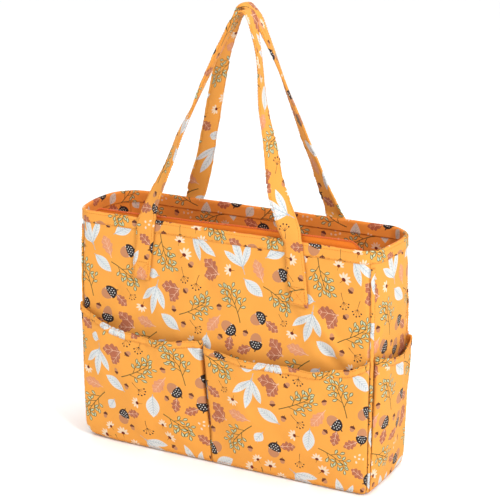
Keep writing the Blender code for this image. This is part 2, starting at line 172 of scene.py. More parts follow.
def folds(lines, a, z):
    """Depth of the folds at points of the cloth; each is a ridge and a valley, and widens as it dies out."""
    total = 0.0
    for a0, z0, along_a, along_z, reach, wide, deep in lines:
        far = ((a - a0) * along_a + (z - z0) * along_z) / reach
        off = ((z - z0) * along_a - (a - a0) * along_z) / (wide * (0.7 + 0.8 * np.clip(far, 0.0, 1.0)))
        fade = smooth(-0.02, 0.22, far) * (1 - smooth(0.35, 1.0, far))
        total = total + deep * fade * (0.55 + 1.1 * off) * np.exp(-off * off)
    return total


# where folds start: place along the face, height, and direction in degrees
AT_STRAPS = ((-0.106, 0.226, -100), (0.106, 0.226, -80), (-0.118, 0.226, -140), (0.118, 0.226, -40))
AT_HEM = ((-0.185, 0.280, -50), (0.185, 0.280, -130), (0.0, 0.284, -90), (-0.05, 0.284, -70),
          (0.06, 0.284, -110))
AT_POCKET_TOPS = ((-0.18, 0.150, 30), (0.18, 0.150, 150))
LONG_FOLDS = fold_lines(3, AT_STRAPS + AT_HEM + AT_POCKET_TOPS, 32, 3,
                        (0.060, 0.120), (0.0080, 0.0150), (0.0016, 0.0032))
ON_ENDS = ((-0.050, 0.280, -70), (0.050, 0.280, -110), (-0.048, 0.175, 60), (0.048, 0.175, 120))
END_FOLDS = fold_lines(8, ON_ENDS, 25, 2, (0.055, 0.100), (0.007, 0.012), (0.0012, 0.0024))
CALM_HEIGHT = 0.254            # the zip's seam
CALM_REACH = 0.020


def by_zip(z):
    """The walls lie calmer along the zip's seam."""
    return 1 - 0.70 * np.exp(-((z - CALM_HEIGHT) / CALM_REACH) ** 2)


def drape(s, z, t):
    """Slow swells and shallow creases of the standing cloth, shared by every layer of the walls."""
    free = np.cos(pi * t / 2) ** 0.6 * smooth(0.0, 0.05, z) * (1 - 0.55 * smooth(0.25, HEIGHT, z))
    free = free * by_zip(z)
    sharp = waves(CREASES, s, z)
    return free * (SWELL_DEPTH * waves(SWELLS, s, z) + CREASE_DEPTH * sharp * np.abs(sharp))


def wall_folds(face, a, z, t):
    """Folds of the walls' own cloth, which die out at the corners and at the hem."""
    lines = LONG_FOLDS if face in LONG_FACES else END_FOLDS
    free = smooth(0.0, 0.25, 1 - np.abs(t)) * smooth(0.010, 0.050, z) * (1 - 0.8 * smooth(0.262, HEIGHT, z))
    free = free * by_zip(z)
    return free * folds(lines, a if face != "rear" else a * 0.93 + 0.006, z)


def wall(face, a, z, out=0.0):
    """Points on the wall: a runs along the face, left to right seen from outside it; out is outwards."""
    a, z, out = (np.array(v, float) for v in np.broadcast_arrays(a, z, out))
    half, stand = face_halves(face)
    t = np.clip(a / half, -1.0, 1.0)
    slack = corner_slack(face, a, z)
    out = out + drape(FACE_START[face] + half + a, z, t) + wall_folds(face, a, z, t) - base_round(z)
    out = out - slack * (1 - smooth(0.0, SLACK_REACH, half - np.abs(a)))
    radius = np.maximum(corner_radius(face, a, z) + out + SLACK_ROUNDING * slack, 0.001)
    along = np.abs(t) * (half + out)
    to_corner = half + out - along
    turn = pi / 4 * np.clip(1 - to_corner / radius, 0.0, 1.0)
    rounded = to_corner < radius
    along = np.where(rounded, half + out - radius + radius * np.sin(turn), along)
    stand = stand + out - radius * (1 - np.cos(turn))
    bow = np.cos(pi * t / 2)
    if face in LONG_FACES:
        stand = stand + FACE_BELLY * bow * np.sin(pi * z / HEIGHT)
    else:
        stand = stand + END_FLARE * bow * smooth(0.08, HEIGHT, z) + END_BELLY * bow * np.sin(pi * z / HEIGHT)
    along = np.where(t >= 0, along, -along)
    parts = {
        "front": (along, -stand, z),
        "rear": (-along, stand, z),
        "right": (stand, along, z),
        "left": (-stand, -along, z),
    }[face]
    return np.stack(parts, axis=-1)


# ---------------------------------------------------------------- materials
STUDIO_LEVEL = 0.74            # the studio is bright, so dyes are this much darker than they look in it


def srgb(red, green, blue):
    """Linear colour of a dye that looks, in the studio's light, like this screen colour (0 to 255)."""
    return tuple(STUDIO_LEVEL * ((c / 255 + 0.055) / 1.055) ** 2.4 for c in (red, green, blue))


def feed(tree, made, inputs):
    """Sets a node's inputs: an output is linked, and anything else is a fixed value."""
    for name, value in inputs.items():
        if isinstance(value, bpy.types.NodeSocket):
            tree.links.new(value, made.inputs[name])
        else:
            made.inputs[name].default_value = value
    return made


def node(tree, kind, inputs=None, **settings):
    made = tree.nodes.new(kind)
    for key, value in settings.items():
        setattr(made, key, value)
    return feed(tree, made, inputs or {})


def math_node(tree, operation, *values):
    return node(tree, "ShaderNodeMath", dict(enumerate(values)), operation=operation).outputs[0]


def new_material(name):
    """An empty material: itself, its node tree and its shader."""
    made = bpy.data.materials.new(name)
    made.use_nodes = True
    return made, made.node_tree, made.node_tree.nodes["Principled BSDF"]


def blend_colours(tree, share, first, second):
    ends = {"Factor": share, "A": (*first, 1.0), "B": (*second, 1.0)}
    return node(tree, "ShaderNodeMix", ends, data_type="RGBA").outputs["Result"]


def spread(tree, value, low, high, most=1.0):
    """A value of 0 to most, turned into one of low to high."""
    ends = {"Value": value, "From Max": most, "To Min": low, "To Max": high}
    return node(tree, "ShaderNodeMapRange", ends).outputs["Result"]


def bumped(tree, height, strength, distance):
    relief = {"Height": height, "Strength": strength, "Distance": distance}
    return node(tree, "ShaderNodeBump", relief).outputs["Normal"]


def noise(tree, place, scale, detail):
    spots = {"Vector": place, "Scale": scale, "Detail": detail}
    return node(tree, "ShaderNodeTexNoise", spots).outputs["Fac"]


def weave_height(tree, pitch):
    """Height of a plain weave, warp and weft taking turns on top, from the cloth's flat coordinates."""
    flat = node(tree, "ShaderNodeUVMap", uv_map="flat").outputs[0]
    split = node(tree, "ShaderNodeSeparateXYZ", {0: flat})
    u = math_node(tree, "MULTIPLY", split.outputs[0], pi / pitch)
    v = math_node(tree, "MULTIPLY", split.outputs[1], pi / pitch)
    sin_u = math_node(tree, "SINE", u)
    sin_v = math_node(tree, "SINE", v)
    over = math_node(tree, "MULTIPLY", sin_u, sin_v)
    warp = math_node(tree, "MULTIPLY", math_node(tree, "ABSOLUTE", sin_u), math_node(tree, "ADD", over, 1.0))
    under = math_node(tree, "SUBTRACT", 1.0, over)
    weft = math_node(tree, "MULTIPLY", math_node(tree, "ABSOLUTE", sin_v), under)
    return math_node(tree, "MAXIMUM", warp, weft), flat


THREAD_PITCH = 0.00042


def cloth_material(name, colour, tint=0.05, roughness=0.82, pitch=THREAD_PITCH, bump=0.35):
    """Woven cloth: weave and nap in the bump, a slight unevenness of dye in the colour, and painted shade in
    the colour where the weave lies low.
    """
    made, tree, shader = new_material(name)
    height, flat = weave_height(tree, pitch)
    cloud = noise(tree, flat, 28.0, 3.0)
    paler = [min(1.0, c * (1 + tint)) for c in colour]
    dye = blend_colours(tree, cloud, [c * (1 - tint) for c in colour], paler)
    # painted shade and highlight of the weave: the colour is darker where the weave lies low and a little
    # lighter on the threads' tops
    dip = spread(tree, height, 0.93, 1.02, most=2.0)
    dye_with_weave_shade = node(tree, "ShaderNodeMix", {"Factor": 1.0, "A": dye, "B": dip}, data_type="RGBA",
                 blend_type="MULTIPLY")
    feed(tree, shader, {
        "Base Color": dye_with_weave_shade.outputs["Result"],
        "Roughness": spread(tree, cloud, roughness + 0.08, roughness - 0.06),
        "Normal": bumped(tree, height, bump, 0.00012),
        "Specular IOR Level": 0.25,
        "Sheen Weight": 0.16,
        "Sheen Roughness": 0.45,
        "Sheen Tint": (1.0, 0.50, 0.18, 1.0),
    })
    return made


def grainy_material(name, dark, light, scale, roughness, bump, metallic=0.0):
    """Metal, plastic or card: a fine grain in colour, roughness and bump. bump is its strength and depth."""
    made, tree, shader = new_material(name)
    grain = noise(tree, node(tree, "ShaderNodeTexCoord").outputs["Object"], scale, 4.0 if metallic else 5.0)
    feed(tree, shader, {
        "Base Color": blend_colours(tree, grain, dark, light),
        "Roughness": spread(tree, grain, *roughness),
        "Normal": bumped(tree, grain, *bump),
        "Metallic": metallic,
    })
    return made


PALETTE = {
    "ground": (251, 171, 73),
    "frost": (229, 232, 230),
    "frost_vein": (176, 188, 198),
    "cream": (250, 226, 196),
    "soot": (44, 38, 40),
    "dots": (240, 238, 232),
    "nut": (204, 140, 98),
    "nut_dark": (106, 56, 40),
    "blush": (232, 156, 112),
    "rust": (184, 108, 78),
    "vein": (246, 194, 160),
    "olive": (92, 88, 44),
    "sprig": (206, 212, 172),
    "heart": (116, 36, 22),
}
DYES = list(PALETTE)
LINING_PAINTED_SHADE = (1.00, 0.73, 0.60)      # painted shade: the lining takes the outer cloth's colours made deeper and redder, standing for the shade and warm bounced light inside the bag

outer_dyes = [cloth_material("cloth_" + dye, srgb(*PALETTE[dye])) for dye in DYES]
# the lining_ materials: the print's colours with painted shade, for cloth that lies inside the bag
painted_shade_dyes = [cloth_material("lining_" + dye, [c * k for c, k in zip(srgb(*PALETTE[dye]), LINING_PAINTED_SHADE)])
              for dye in DYES]
tape_dye = cloth_material("plain_tape", srgb(250, 134, 34), pitch=0.0006, bump=0.6)
thread_dye = cloth_material("sewing_thread", srgb(232, 138, 40), roughness=0.6, pitch=0.0002, bump=0.2)
gold = grainy_material("pale_gold_metal", (0.72, 0.58, 0.33), (0.86, 0.74, 0.48), 900.0, (0.22, 0.42),
                       (0.12, 0.00003), metallic=1.0)
nylon = grainy_material("coil_nylon", srgb(232, 92, 20), srgb(252, 120, 34), 1400.0, (0.34, 0.50),
                        (0.3, 0.00002))
card = grainy_material("base_card", (0.23, 0.21, 0.18), (0.36, 0.34, 0.30), 420.0, (0.77, 0.93),
                       (0.3, 0.0001))


# ---------------------------------------------------------------- motifs, drawn in millimetres
def spun(points, turn):
    """Points turned about the origin by an angle in degrees."""
    c, s = cos(radians(turn)), sin(radians(turn))
    return np.asarray(points, float) @ np.array([[c, s], [-s, c]])


def moved(shapes, x, y, turn=0.0, scale=1.0):
    return [(dye, spun(np.asarray(points) * scale, turn) + (x, y)) for dye, points in shapes]


def oval(x, y, wide, tall, turn=0.0, sides=10):
    angles = [tau * k / sides for k in range(sides)]
    return spun([(wide / 2 * cos(w), tall / 2 * sin(w)) for w in angles], turn) + (x, y)


def leaf(length, width, fullest=0.5, sides=7, lobes=0, lobe=0.0):
    """A leaf from the origin along +x, fullest at a share of its length, with rounded lobes if it has any."""
    power = np.log(0.5) / np.log(fullest)
    s = np.linspace(0.0, 1.0, sides + 1)[1:-1]
    half = width / 2 * np.sin(pi * s ** power) ** 0.9
    half = half * (1 - lobe + lobe * np.abs(np.cos(pi * lobes * s)) * 2 if lobes else 1.0)
    upper = np.stack([s * length, half], axis=1)
    lower = np.stack([s * length, -half], axis=1)[::-1]
    return np.concatenate([[(0.0, 0.0)], upper, [(length, 0.0)], lower])


def stroke(points, width, tip=0.35):
    """A drawn line through points, narrowing to its end."""
    points = np.asarray(points, float)
    run = unit(np.gradient(points, axis=0))
    side = np.stack([-run[:, 1], run[:, 0]], axis=1)
    wide = np.linspace(width / 2, width / 2 * tip, len(points))[:, None]
    return np.concatenate([points + side * wide, (points - side * wide)[::-1]])


def curved(length, bend, steps=6):
    """Points along a gently bent line of a given length, from the origin along +x."""
    s = np.linspace(0.0, 1.0, steps)
    return np.stack([length * s, bend * length * s * s], axis=1)


def veined_leaf(dye, vein_dye, length, width, veins=3, **form):
    shapes = [(dye, leaf(length, width, **form)), (vein_dye, stroke([(-1.5, 0), (length * 0.9, 0)], 0.7))]
    for k in range(veins):
        place = 0.16 + 0.60 * k / max(1, veins - 1)
        reach = width * 0.40 * sin(pi * (0.12 + 0.80 * place))
        for side in (-1, 1):
            root = (length * place, 0.2 * side)
            shapes.append((vein_dye, stroke([root, (root[0] + reach, side * reach)], 0.42)))
    return shapes


def oak_leaf(length, width):
    return veined_leaf("rust", "vein", length, width, veins=3, fullest=0.55, sides=13, lobes=4, lobe=0.28)


def acorn():
    """A nut with a dotted cap and a small oak leaf at its stalk."""
    shapes = moved(oak_leaf(17, 8.5), 4.0, 6.0, 28)
    shapes.append(("nut", oval(0, -1.5, 12.0, 14.5, sides=14)))
    dome = [(7.0 * cos(w), 1.0 + 7.4 * sin(w)) for w in np.linspace(0, pi, 10)]
    sag = [(-7.0 + 14.0 * k / 5, 1.0 - 2.0 * sin(pi * k / 5)) for k in range(1, 5)]
    shapes.append(("soot", np.array(dome + sag)))
    shapes.append(("soot", stroke([(0, 8.0), (0.8, 10.2)], 1.3, tip=0.8)))
    for count, y in ((5, 1.0), (4, 3.4), (3, 5.6)):
        for k in range(count):
            x = (k - (count - 1) / 2) * 2.5
            shapes.append(("dots", oval(x, y - 0.05 * x * x, 1.15, 1.15, sides=5)))
    return shapes


def small_nut():
    return [("nut", oval(0, -0.6, 5.0, 5.6, sides=9)),
            ("nut_dark", np.array([(3.0 * cos(w), 0.4 + 2.8 * sin(w)) for w in np.linspace(0, pi, 7)])),
            ("soot", stroke([(0, 2.9), (0.4, 4.1)], 0.8))]


def daisy():
    """A small flower seen from the side: narrow petals fan out below a dark heart."""
    shapes = [("soot", stroke([(0.2, 0.8), (1.2, 6.0)], 0.6))]
    for turn, length in ((-186, 6.6), (-152, 7.4), (-118, 7.2), (-84, 7.4), (-50, 7.2), (-12, 6.8)):
        petal = leaf(length, 2.3, fullest=0.62, sides=6)
        shapes.append(("cream", spun(petal, turn) + (0.0, 0.3)))
    shapes.append(("heart", oval(0, 0.4, 4.2, 3.4, sides=10)))
    return shapes


def berry_twig():
    shapes = [("soot", stroke(curved(11, 0.15), 0.55))]
    for turn, reach in ((-52, 5.5), (-26, 6.6), (0, 7.2), (26, 6.6), (52, 5.5)):
        end = spun([(reach, 0.0)], turn + 14)[0] + (8.6, 0.9)
        shapes.append(("soot", stroke([(8.6, 0.9), end], 0.4)))
        shapes.append(("soot", oval(*end, 1.7, 1.7, sides=7)))
    return shapes


def outlined_leaflet(length, width):
    return [("olive", leaf(length, width, fullest=0.6, sides=6)),
            ("sprig", leaf(length * 0.78, width * 0.56, fullest=0.6, sides=5) + (length * 0.13, 0.0))]


def sprig(reach, branches, bend):
    """A branching twig with small outlined leaves."""
    spine = curved(reach, bend)
    shapes = [("olive", stroke(spine, 0.95, tip=0.6))]
    for k in range(branches):
        s = 0.30 + 0.62 * k / (branches - 1)
        root = np.array([reach * s, bend * reach * s * s])
        lean = np.degrees(np.arctan(2 * bend * s))
        side = 1 if k % 2 else -1
        length = reach * (0.42 - 0.22 * s)
        turn = lean + side * (46 - 14 * s)
        twig = [("olive", stroke([(0, 0), (length, 0)], 0.7, tip=0.7))]
        for place, lean_off in ((0.46, 50), (0.66, -50), (0.98, 10)):
            twig += moved(outlined_leaflet(6.4, 3.3), length * place, 0.0, side * lean_off)
        shapes += moved(twig, *root, turn)
    tip = spine[-1]
    shapes += moved(outlined_leaflet(5.8, 2.8), *tip, np.degrees(np.arctan(2 * bend)))
    return shapes


def leaf_cluster():
    """Three pale leaves from one stalk."""
    shapes = [("frost_vein", stroke([(-7.0, 0.0), (1.0, 0.0)], 0.7))]
    for turn, length, width in ((-34, 26, 7.2), (36, 24, 7.4), (2, 31, 8.4)):
        shapes += moved(veined_leaf("frost", "frost_vein", length, width, veins=6, fullest=0.55), 0, 0, turn)
    return shapes


def petal_dots():
    spots = ((0, 0), (4.4, 2.2), (1.6, 5.2), (7.6, 5.8), (5.4, -2.6))
    return [("cream", oval(x, y, 2.9, 2.2, 40 * k, sides=7)) for k, (x, y) in enumerate(spots)]


def frost_leaf(length, width, veins, **form):
    return veined_leaf("frost", "frost_vein", length, width, veins=veins, fullest=0.5, **form)


# how many of each motif the tile holds
MOTIFS = (
    (6, acorn()),
    (3, leaf_cluster()),
    (4, sprig(34, 6, 0.18)),
    (2, sprig(29, 5, -0.22)),
    (4, frost_leaf(24, 12.0, 6, sides=9)),
    (3, moved(oak_leaf(20, 11.5), 0, 0, 12) + moved(oak_leaf(17, 10), 0, 0, 68)),
    (3, veined_leaf("blush", "vein", 22, 10.5, veins=4, fullest=0.55, sides=13, lobes=4, lobe=0.2)),
    (4, daisy() + moved(daisy(), 12, -7, 35, 0.85)),
    (4, berry_twig()),
    (1, petal_dots()),
    (2, frost_leaf(13, 10.0, 3)),
    (3, moved(daisy(), 0, 0, 0, 0.9)),
    (12, small_nut()),
    (3, moved(berry_twig(), 0, 0, 0, 0.8)),
)
TILE = (208.0, 186.0)
MOTIF_SCALE = 1.25
MOTIF_GAP = 3.0
PLACING_TRIES = 420


def outline_samples(shapes):
    """Points of a motif, one every few millimetres, for keeping motifs apart."""
    points = np.concatenate([points for _, points in shapes])
    cells = np.unique(np.round(points / 2.5), axis=0)
    return cells * 2.5


def toss_print():
    """Places the motifs at random turns over a tile that repeats, keeping them apart across its edges."""
    draw = random.Random(27)
    placed = []
    taken = np.empty((0, 2))
    size = np.array(TILE)
    for count, motif in MOTIFS:
        for _ in range(count):
            for _ in range(PLACING_TRIES):
                x, y, turn = draw.uniform(0, TILE[0]), draw.uniform(0, TILE[1]), draw.uniform(0, 360)
                shapes = moved(motif, x, y, turn, MOTIF_SCALE)
                samples = outline_samples(shapes)
                if len(taken):
                    apart = samples[:, None, :] - taken[None, :, :]
                    apart -= size * np.round(apart / size)
                    if (apart ** 2).sum(-1).min() < MOTIF_GAP ** 2:
                        continue
                placed.append(shapes)
                taken = np.concatenate([taken, samples])
                break
    return placed


tossed = toss_print()


def print_over(low, high, origin, turn):
    """The print's shapes, in metres on the flat cloth, wherever they reach a piece's box."""
    found = []
    size = np.array(TILE)
    corners = np.array([(x, y) for x in (low[0], high[0]) for y in (low[1], high[1])])
    on_print = spun(corners / MM, -turn) + origin
    first = np.floor(on_print.min(0) / size).astype(int) - 1
    last = np.floor(on_print.max(0) / size).astype(int) + 1
    for i in range(first[0], last[0] + 1):
        for j in range(first[1], last[1] + 1):
            for shapes in tossed:
                laid = [(dye, spun(points + size * (i, j) - origin, turn) * MM) for dye, points in shapes]
                reach = np.concatenate([points for _, points in laid])
                if (reach.max(0) > low).all() and (reach.min(0) < high).all():
                    found += laid
    return found


# ---------------------------------------------------------------- flat pieces and laying them over the bag
def inside(points, outline):
    """Which points lie inside a closed outline."""
    ends = np.roll(outline, -1, axis=0)
    x, y = points[:, 0, None], points[:, 1, None]
    crosses = (outline[:, 1] > y) != (ends[:, 1] > y)
    rise = np.where(ends[:, 1] == outline[:, 1], 1.0, ends[:, 1] - outline[:, 1])
    at = outline[:, 0] + (y - outline[:, 1]) / rise * (ends[:, 0] - outline[:, 0])
    return (crosses & (x < at)).sum(1) % 2 == 1


def edge_distance(points, outline):
    ends = np.roll(outline, -1, axis=0)
    run = ends - outline
    long2 = np.maximum((run ** 2).sum(1), 1e-12)
    from_start = points[:, None, :] - outline
    s = np.clip((from_start * run).sum(-1) / long2, 0, 1)
    return np.sqrt(((from_start - s[..., None] * run) ** 2).sum(-1)).min(1)


def grid_points(outline, spacing, fine, band):
    """Points over a flat piece: a coarse grid inside, and a fine one in a band along its edge."""
    low, high = outline.min(0), outline.max(0)
    kept = []
    for step, near, far in ((fine, 0.0, band), (spacing, band, 1e9)):
        counts = np.maximum(2, np.round((high - low) / step).astype(int))
        xs, ys = (np.linspace(low[k], high[k], counts[k] + 1)[1:-1] for k in (0, 1))
        grid = np.stack(np.meshgrid(xs, ys), axis=-1).reshape(-1, 2)
        grid = grid[inside(grid, outline)]
        if not len(grid):
            continue
        away = edge_distance(grid, outline)
        kept.append(grid[(away > max(near, step * 0.45)) & (away <= far)])
    return np.concatenate(kept)


def even_outline(corners, step):
    """A closed outline with a point at least every step."""
    points = []
    for start, end in zip(corners, np.roll(corners, -1, axis=0)):
        count = max(1, int(np.ceil(np.linalg.norm(end - start) / step)))
        points += [start + (end - start) * k / count for k in range(count)]
    return np.array(points)


def anticlockwise(outline):
    """The triangulation takes an outline's inside to be on its left."""
    ends = np.roll(outline, -1, axis=0)
    return outline if (outline[:, 0] * ends[:, 1] - outline[:, 1] * ends[:, 0]).sum() > 0 else outline[::-1]


def triangulate(rings, loose=()):
    """Triangles of closed outlines and loose points: points, triangles and the outlines each one is in."""
    points, faces = [], []
    for ring in rings:
        faces.append(list(range(len(points), len(points) + len(ring))))
        points += [Vector(p / MM) for p in ring]
    points += [Vector(p / MM) for p in loose]
    verts, _, triangles, _, _, sources = delaunay_2d_cdt(points, [], faces, 1, 1e-4, True)
    return np.array([v[:] for v in verts]) * MM, triangles, sources


def cut_cloth(outline, spacing, fine, band, prints):
    """Triangles of a flat piece with the print cut into it: points, triangles and each one's dye."""
    rings = [outline] + [anticlockwise(points) for _, points in prints]
    flat, triangles, sources = triangulate(rings, grid_points(outline, spacing, fine, band))
    kept = [(triangle, max(source)) for triangle, source in zip(triangles, sources) if 0 in source]
    dyes = np.array([DYES.index(prints[top - 1][0]) if top else 0 for _, top in kept])
    used, triangles = np.unique([triangle for triangle, _ in kept], return_inverse=True)
    triangles = triangles.reshape(-1, 3)
    flat = flat[used]
    a, b, c = (flat[triangles[:, k]] for k in range(3))
    area = (b - a)[:, 0] * (c - a)[:, 1] - (b - a)[:, 1] * (c - a)[:, 0]
    triangles[area < 0] = triangles[area < 0][:, ::-1]
    return flat, triangles, dyes


def rim_edges(triangles):
    """The edges that only one triangle has."""
    edges = np.concatenate([triangles[:, (0, 1)], triangles[:, (1, 2)], triangles[:, (2, 0)]])
    keys = np.sort(edges, axis=1) @ (triangles.max() + 1, 1)
    _, first, uses = np.unique(keys, return_index=True, return_counts=True)
    return edges[first[uses == 1]]


def point_normals(points, triangles):
    a, b, c = (points[triangles[:, k]] for k in range(3))
    facing = np.cross(b - a, c - a)
    normals = np.zeros_like(points)
    for k in range(3):
        np.add.at(normals, triangles[:, k], facing)
    return normals / np.maximum(np.linalg.norm(normals, axis=1), 1e-12)[:, None]


def new_piece(name, points, faces, dyes, materials, flat=None):
    """A mesh object with flat cloth coordinates as its UV map."""
    mesh = bpy.data.meshes.new(name)
    mesh.from_pydata(points.tolist(), [], [tuple(f) for f in faces])
    used, dyes = np.unique(np.asarray(dyes, int), return_inverse=True)
    for k in used:
        mesh.materials.append(materials[k])
    mesh.polygons.foreach_set("material_index", dyes.astype(np.int32))
    if flat is not None:
        layer = mesh.uv_layers.new(name="flat")
        corners = np.zeros(len(mesh.loops), np.int32)
        mesh.loops.foreach_get("vertex_index", corners)
        layer.data.foreach_set("uv", flat[corners].astype(np.float32).ravel())
    mesh.shade_smooth()
    made = bpy.data.objects.new(name, mesh)
    bpy.context.scene.collection.objects.link(made)
    return made


def stand_for(piece, body, slot, *nodes):
    """The piece moves with a body and takes the place of CAD nodes; slot is not used."""
    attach(piece, body)
    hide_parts(*nodes)


def lay_cloth(name, outline, surface, origin=(0.0, 0.0), turn=0.0, thickness=CLOTH, faces_in=False,
              spacing=0.004, fine=0.0022, band=0.010, materials=None, plain=False, print_back=False,
              shaded_past=None):
    """Cuts a flat piece, lays it by surface(p, q) and gives it a back and an edge.

    surface gives the printed side, and faces_in turns it to the inside of the bag. origin and turn place the
    piece on the print. Its triangles are fine in a band along its edge and have the other spacing elsewhere.
    shaded_past is how far up the piece the cloth turns inside; past it the cloth takes the lining's colours,
    which carry painted shade.
    """
    outline = np.asarray(outline, float)
    prints = [] if plain else print_over(outline.min(0), outline.max(0), np.array(origin, float), turn)
    flat, triangles, dyes = cut_cloth(outline, spacing, fine, band, prints)
    # painted shade: the part of the piece turned inside the bag takes the darker lining colours, though it is
    # the same cloth
    if shaded_past is not None:
        dyes = dyes + len(DYES) * (flat[triangles][:, :, 1].mean(axis=1) > shaded_past)
        materials = outer_dyes + painted_shade_dyes
    shown = surface(flat[:, 0], flat[:, 1])
    if faces_in:
        triangles = triangles[:, ::-1]
    behind = shown - point_normals(shown, triangles) * thickness
    count = len(shown)
    rim = rim_edges(triangles)
    faces = triangles.tolist() + (triangles[:, ::-1] + count).tolist()
    faces += [(b, a, a + count, b + count) for a, b in rim]
    back_dyes = dyes if print_back else np.zeros_like(dyes)
    all_dyes = np.concatenate([dyes, back_dyes, np.zeros(len(rim), int)])
    return new_piece(name, np.concatenate([shown, behind]), faces, all_dyes, materials or outer_dyes,
                     np.concatenate([flat, flat]))


def rectangle(left, low, right, high, step=0.004):
    return even_outline(np.array([(left, low), (right, low), (right, high), (left, high)]), step)


# ---------------------------------------------------------------- walls
PUCKER_PITCH = 0.0085
PUCKER_DEPTH = 0.00028
PUCKER_REACH = 0.0075
WALL_TOP = HEM_FOOT + 0.004    # the walls' cloth ends under the hem
LINING_FOOT = 0.0046


def pucker(along, away):
    """The ripples that stitching leaves in cloth, dying away from the seam."""
    wobble = np.sin(tau * along / PUCKER_PITCH + 1.7 * np.sin(tau * along / (5.3 * PUCKER_PITCH)))
    return PUCKER_DEPTH * wobble * np.exp(-np.maximum(away, 0) / PUCKER_REACH)


def build_wall(face):
    half = face_halves(face)[0]
    label = NODE_LABEL[face]
    start = FACE_START[face]

    def outer(a, z):
        ripple = pucker(a + start, HEM_FOOT - z) + pucker(z, half - np.abs(a)) * 0.8
        tuck = 0.0008 * np.exp(-(half - np.abs(a)) / 0.0020)
        return wall(face, a, z, ripple * smooth(0.0, 0.004, half - np.abs(a)) - tuck)

    def inner(a, z):
        return wall(face, a, z, -LINING_DEPTH - LINING)

    shell = lay_cloth(label + "_panel_cloth", rectangle(-half, WALL_FOOT, half, WALL_TOP), outer,
                      origin=((start + half) / MM, 0.0))
    stand_for(shell, "bag", "printed_cloth", label + "_panel")
    # the lining takes the print colours with painted shade
    lining = lay_cloth(label + "_lining_cloth", rectangle(-half, LINING_FOOT, half, WALL_TOP), inner,
                       origin=((start + half) / MM + 61, 47.0), thickness=LINING, faces_in=True,
                       spacing=0.006, fine=0.004, materials=painted_shade_dyes)
    stand_for(lining, "bag", "lining_cloth", label + "_lining")


HEM_OUT = 0.0011               # outer face of the hem, over the cloth
HEM_IN = 0.0033                # inner face of the hem, under the lining


def fold_over(q, height, out_side, in_side):
    """Rise and outward offset along a folded band: up its outer side, over the fold, down its inner side."""
    radius = (out_side - in_side) / 2
    straight = height - radius
    angle = np.clip((q - straight) / radius, 0.0, pi)
    down = np.clip(q - straight - pi * radius, 0.0, None)
    return np.minimum(q, straight) + radius * np.sin(angle) - down, out_side - radius + radius * np.cos(angle)


def build_hem(face):
    half = face_halves(face)[0]
    label = NODE_LABEL[face]
    start = FACE_START[face]
    height = HEIGHT - HEM_FOOT
    radius = (HEM_OUT + HEM_IN) / 2
    length = 2 * (height - radius) + pi * radius

    def surface(a, q):
        rise, out = fold_over(q, height, HEM_OUT, -HEM_IN)
        ripple = pucker(a + start, np.abs(q - 0.002)) * 0.9
        edge = 0.0006 * smooth(0.0, 0.0015, q) - 0.0006
        return wall(face, a, HEM_FOOT + rise, out + np.where(q < height, ripple + edge, 0.0))

    # the hem's inner side, past shaded_past, takes the colours with painted shade
    band = lay_cloth(label + "_hem_cloth", rectangle(-half, 0.0, half, length, 0.003), surface,
                     origin=((start + half) / MM + 23, 118.0), thickness=0.0007, spacing=0.003, fine=0.0014,
                     band=0.003, shaded_past=height + 0.0005)
    stand_for(band, "bag", "printed_cloth", label + "_hem_band")


for face in FACES:
    build_wall(face)
    build_hem(face)


# ---------------------------------------------------------------- stitching
STITCH_PITCH = 0.0033
STITCH_LENGTH = 0.0025
STITCH_R = 0.00024


def distances(line):
    """How far along a line each of its points is."""
    return np.concatenate([[0.0], np.cumsum(np.linalg.norm(np.diff(line, axis=0), axis=1))])


def between(table, far, q):
    """Vectors at distances q, read between the rows of a table that stand at distances far."""
    return np.stack([np.interp(q, far, table[:, k]) for k in range(3)], axis=-1)


def with_normals(surface, p, q, lift=0.00012, step=0.0004):
    """Points of a line on a surface, and which way the surface faces there."""
    p, q = np.broadcast_arrays(np.asarray(p, float), np.asarray(q, float))
    over = surface(p + step, q) - surface(p - step, q)
    up = surface(p, q + step) - surface(p, q - step)
    facing = unit(np.cross(over, up))
    return surface(p, q) + facing * lift, facing


def dash(start, middle, end, facing):
    """One stitch: a short thread that dips into the cloth at both ends."""
    run = end - start
    run /= np.linalg.norm(run)
    side = np.cross(facing, run)
    ring = [(cos(tau * k / 5), sin(tau * k / 5)) for k in range(5)]
    points = [start - facing * STITCH_R * 1.2]
    for place in (start * 0.7 + middle * 0.3, end * 0.7 + middle * 0.3):
        points += [place + (side * c + facing * k) * STITCH_R for c, k in ring]
    points.append(end - facing * STITCH_R * 1.2)
    return points


DASH_FACES = ([(0, 1 + (k + 1) % 5, 1 + k) for k in range(5)]
              + [(1 + k, 1 + (k + 1) % 5, 6 + (k + 1) % 5, 6 + k) for k in range(5)]
              + [(11, 6 + k, 6 + (k + 1) % 5) for k in range(5)])


def sew(name, lines):
    """Rows of stitches along lines of points and normals, as one piece."""
    points, faces = [], []
    for line, facing in lines:
        far = distances(line)
        count = int(far[-1] / STITCH_PITCH)
        spare = (far[-1] - count * STITCH_PITCH) / 2
        for k in range(count):
            begin = spare + k * STITCH_PITCH + (STITCH_PITCH - STITCH_LENGTH) / 2
            spots = between(line, far, begin + STITCH_LENGTH * np.array((0.0, 0.5, 1.0)))
            outward = between(facing, far, begin + STITCH_LENGTH / 2)
            outward /= np.linalg.norm(outward)
            faces += [tuple(len(points) + i for i in face) for face in DASH_FACES]
            points += dash(*spots, outward)
    points = np.array(points)
    flat = points[:, (0, 2)]
    thread = new_piece(name, points, faces, np.zeros(len(faces), int), [thread_dye], flat)
    return thread


# ---------------------------------------------------------------- pockets
CORNER_A = WIDTH / 2 - 0.0006  # where the long pockets end at the corners
END_A = 0.0488


def mirrored(face, pocket):
    """The same pocket on the opposite face, with its left and right changed over."""
    _, left, right, top, stand_out = pocket
    swapped = tuple((round(1 - u, 2), z) for u, z in reversed(top))
    return face, tuple(-a for a in right), tuple(-a for a in left), swapped, stand_out


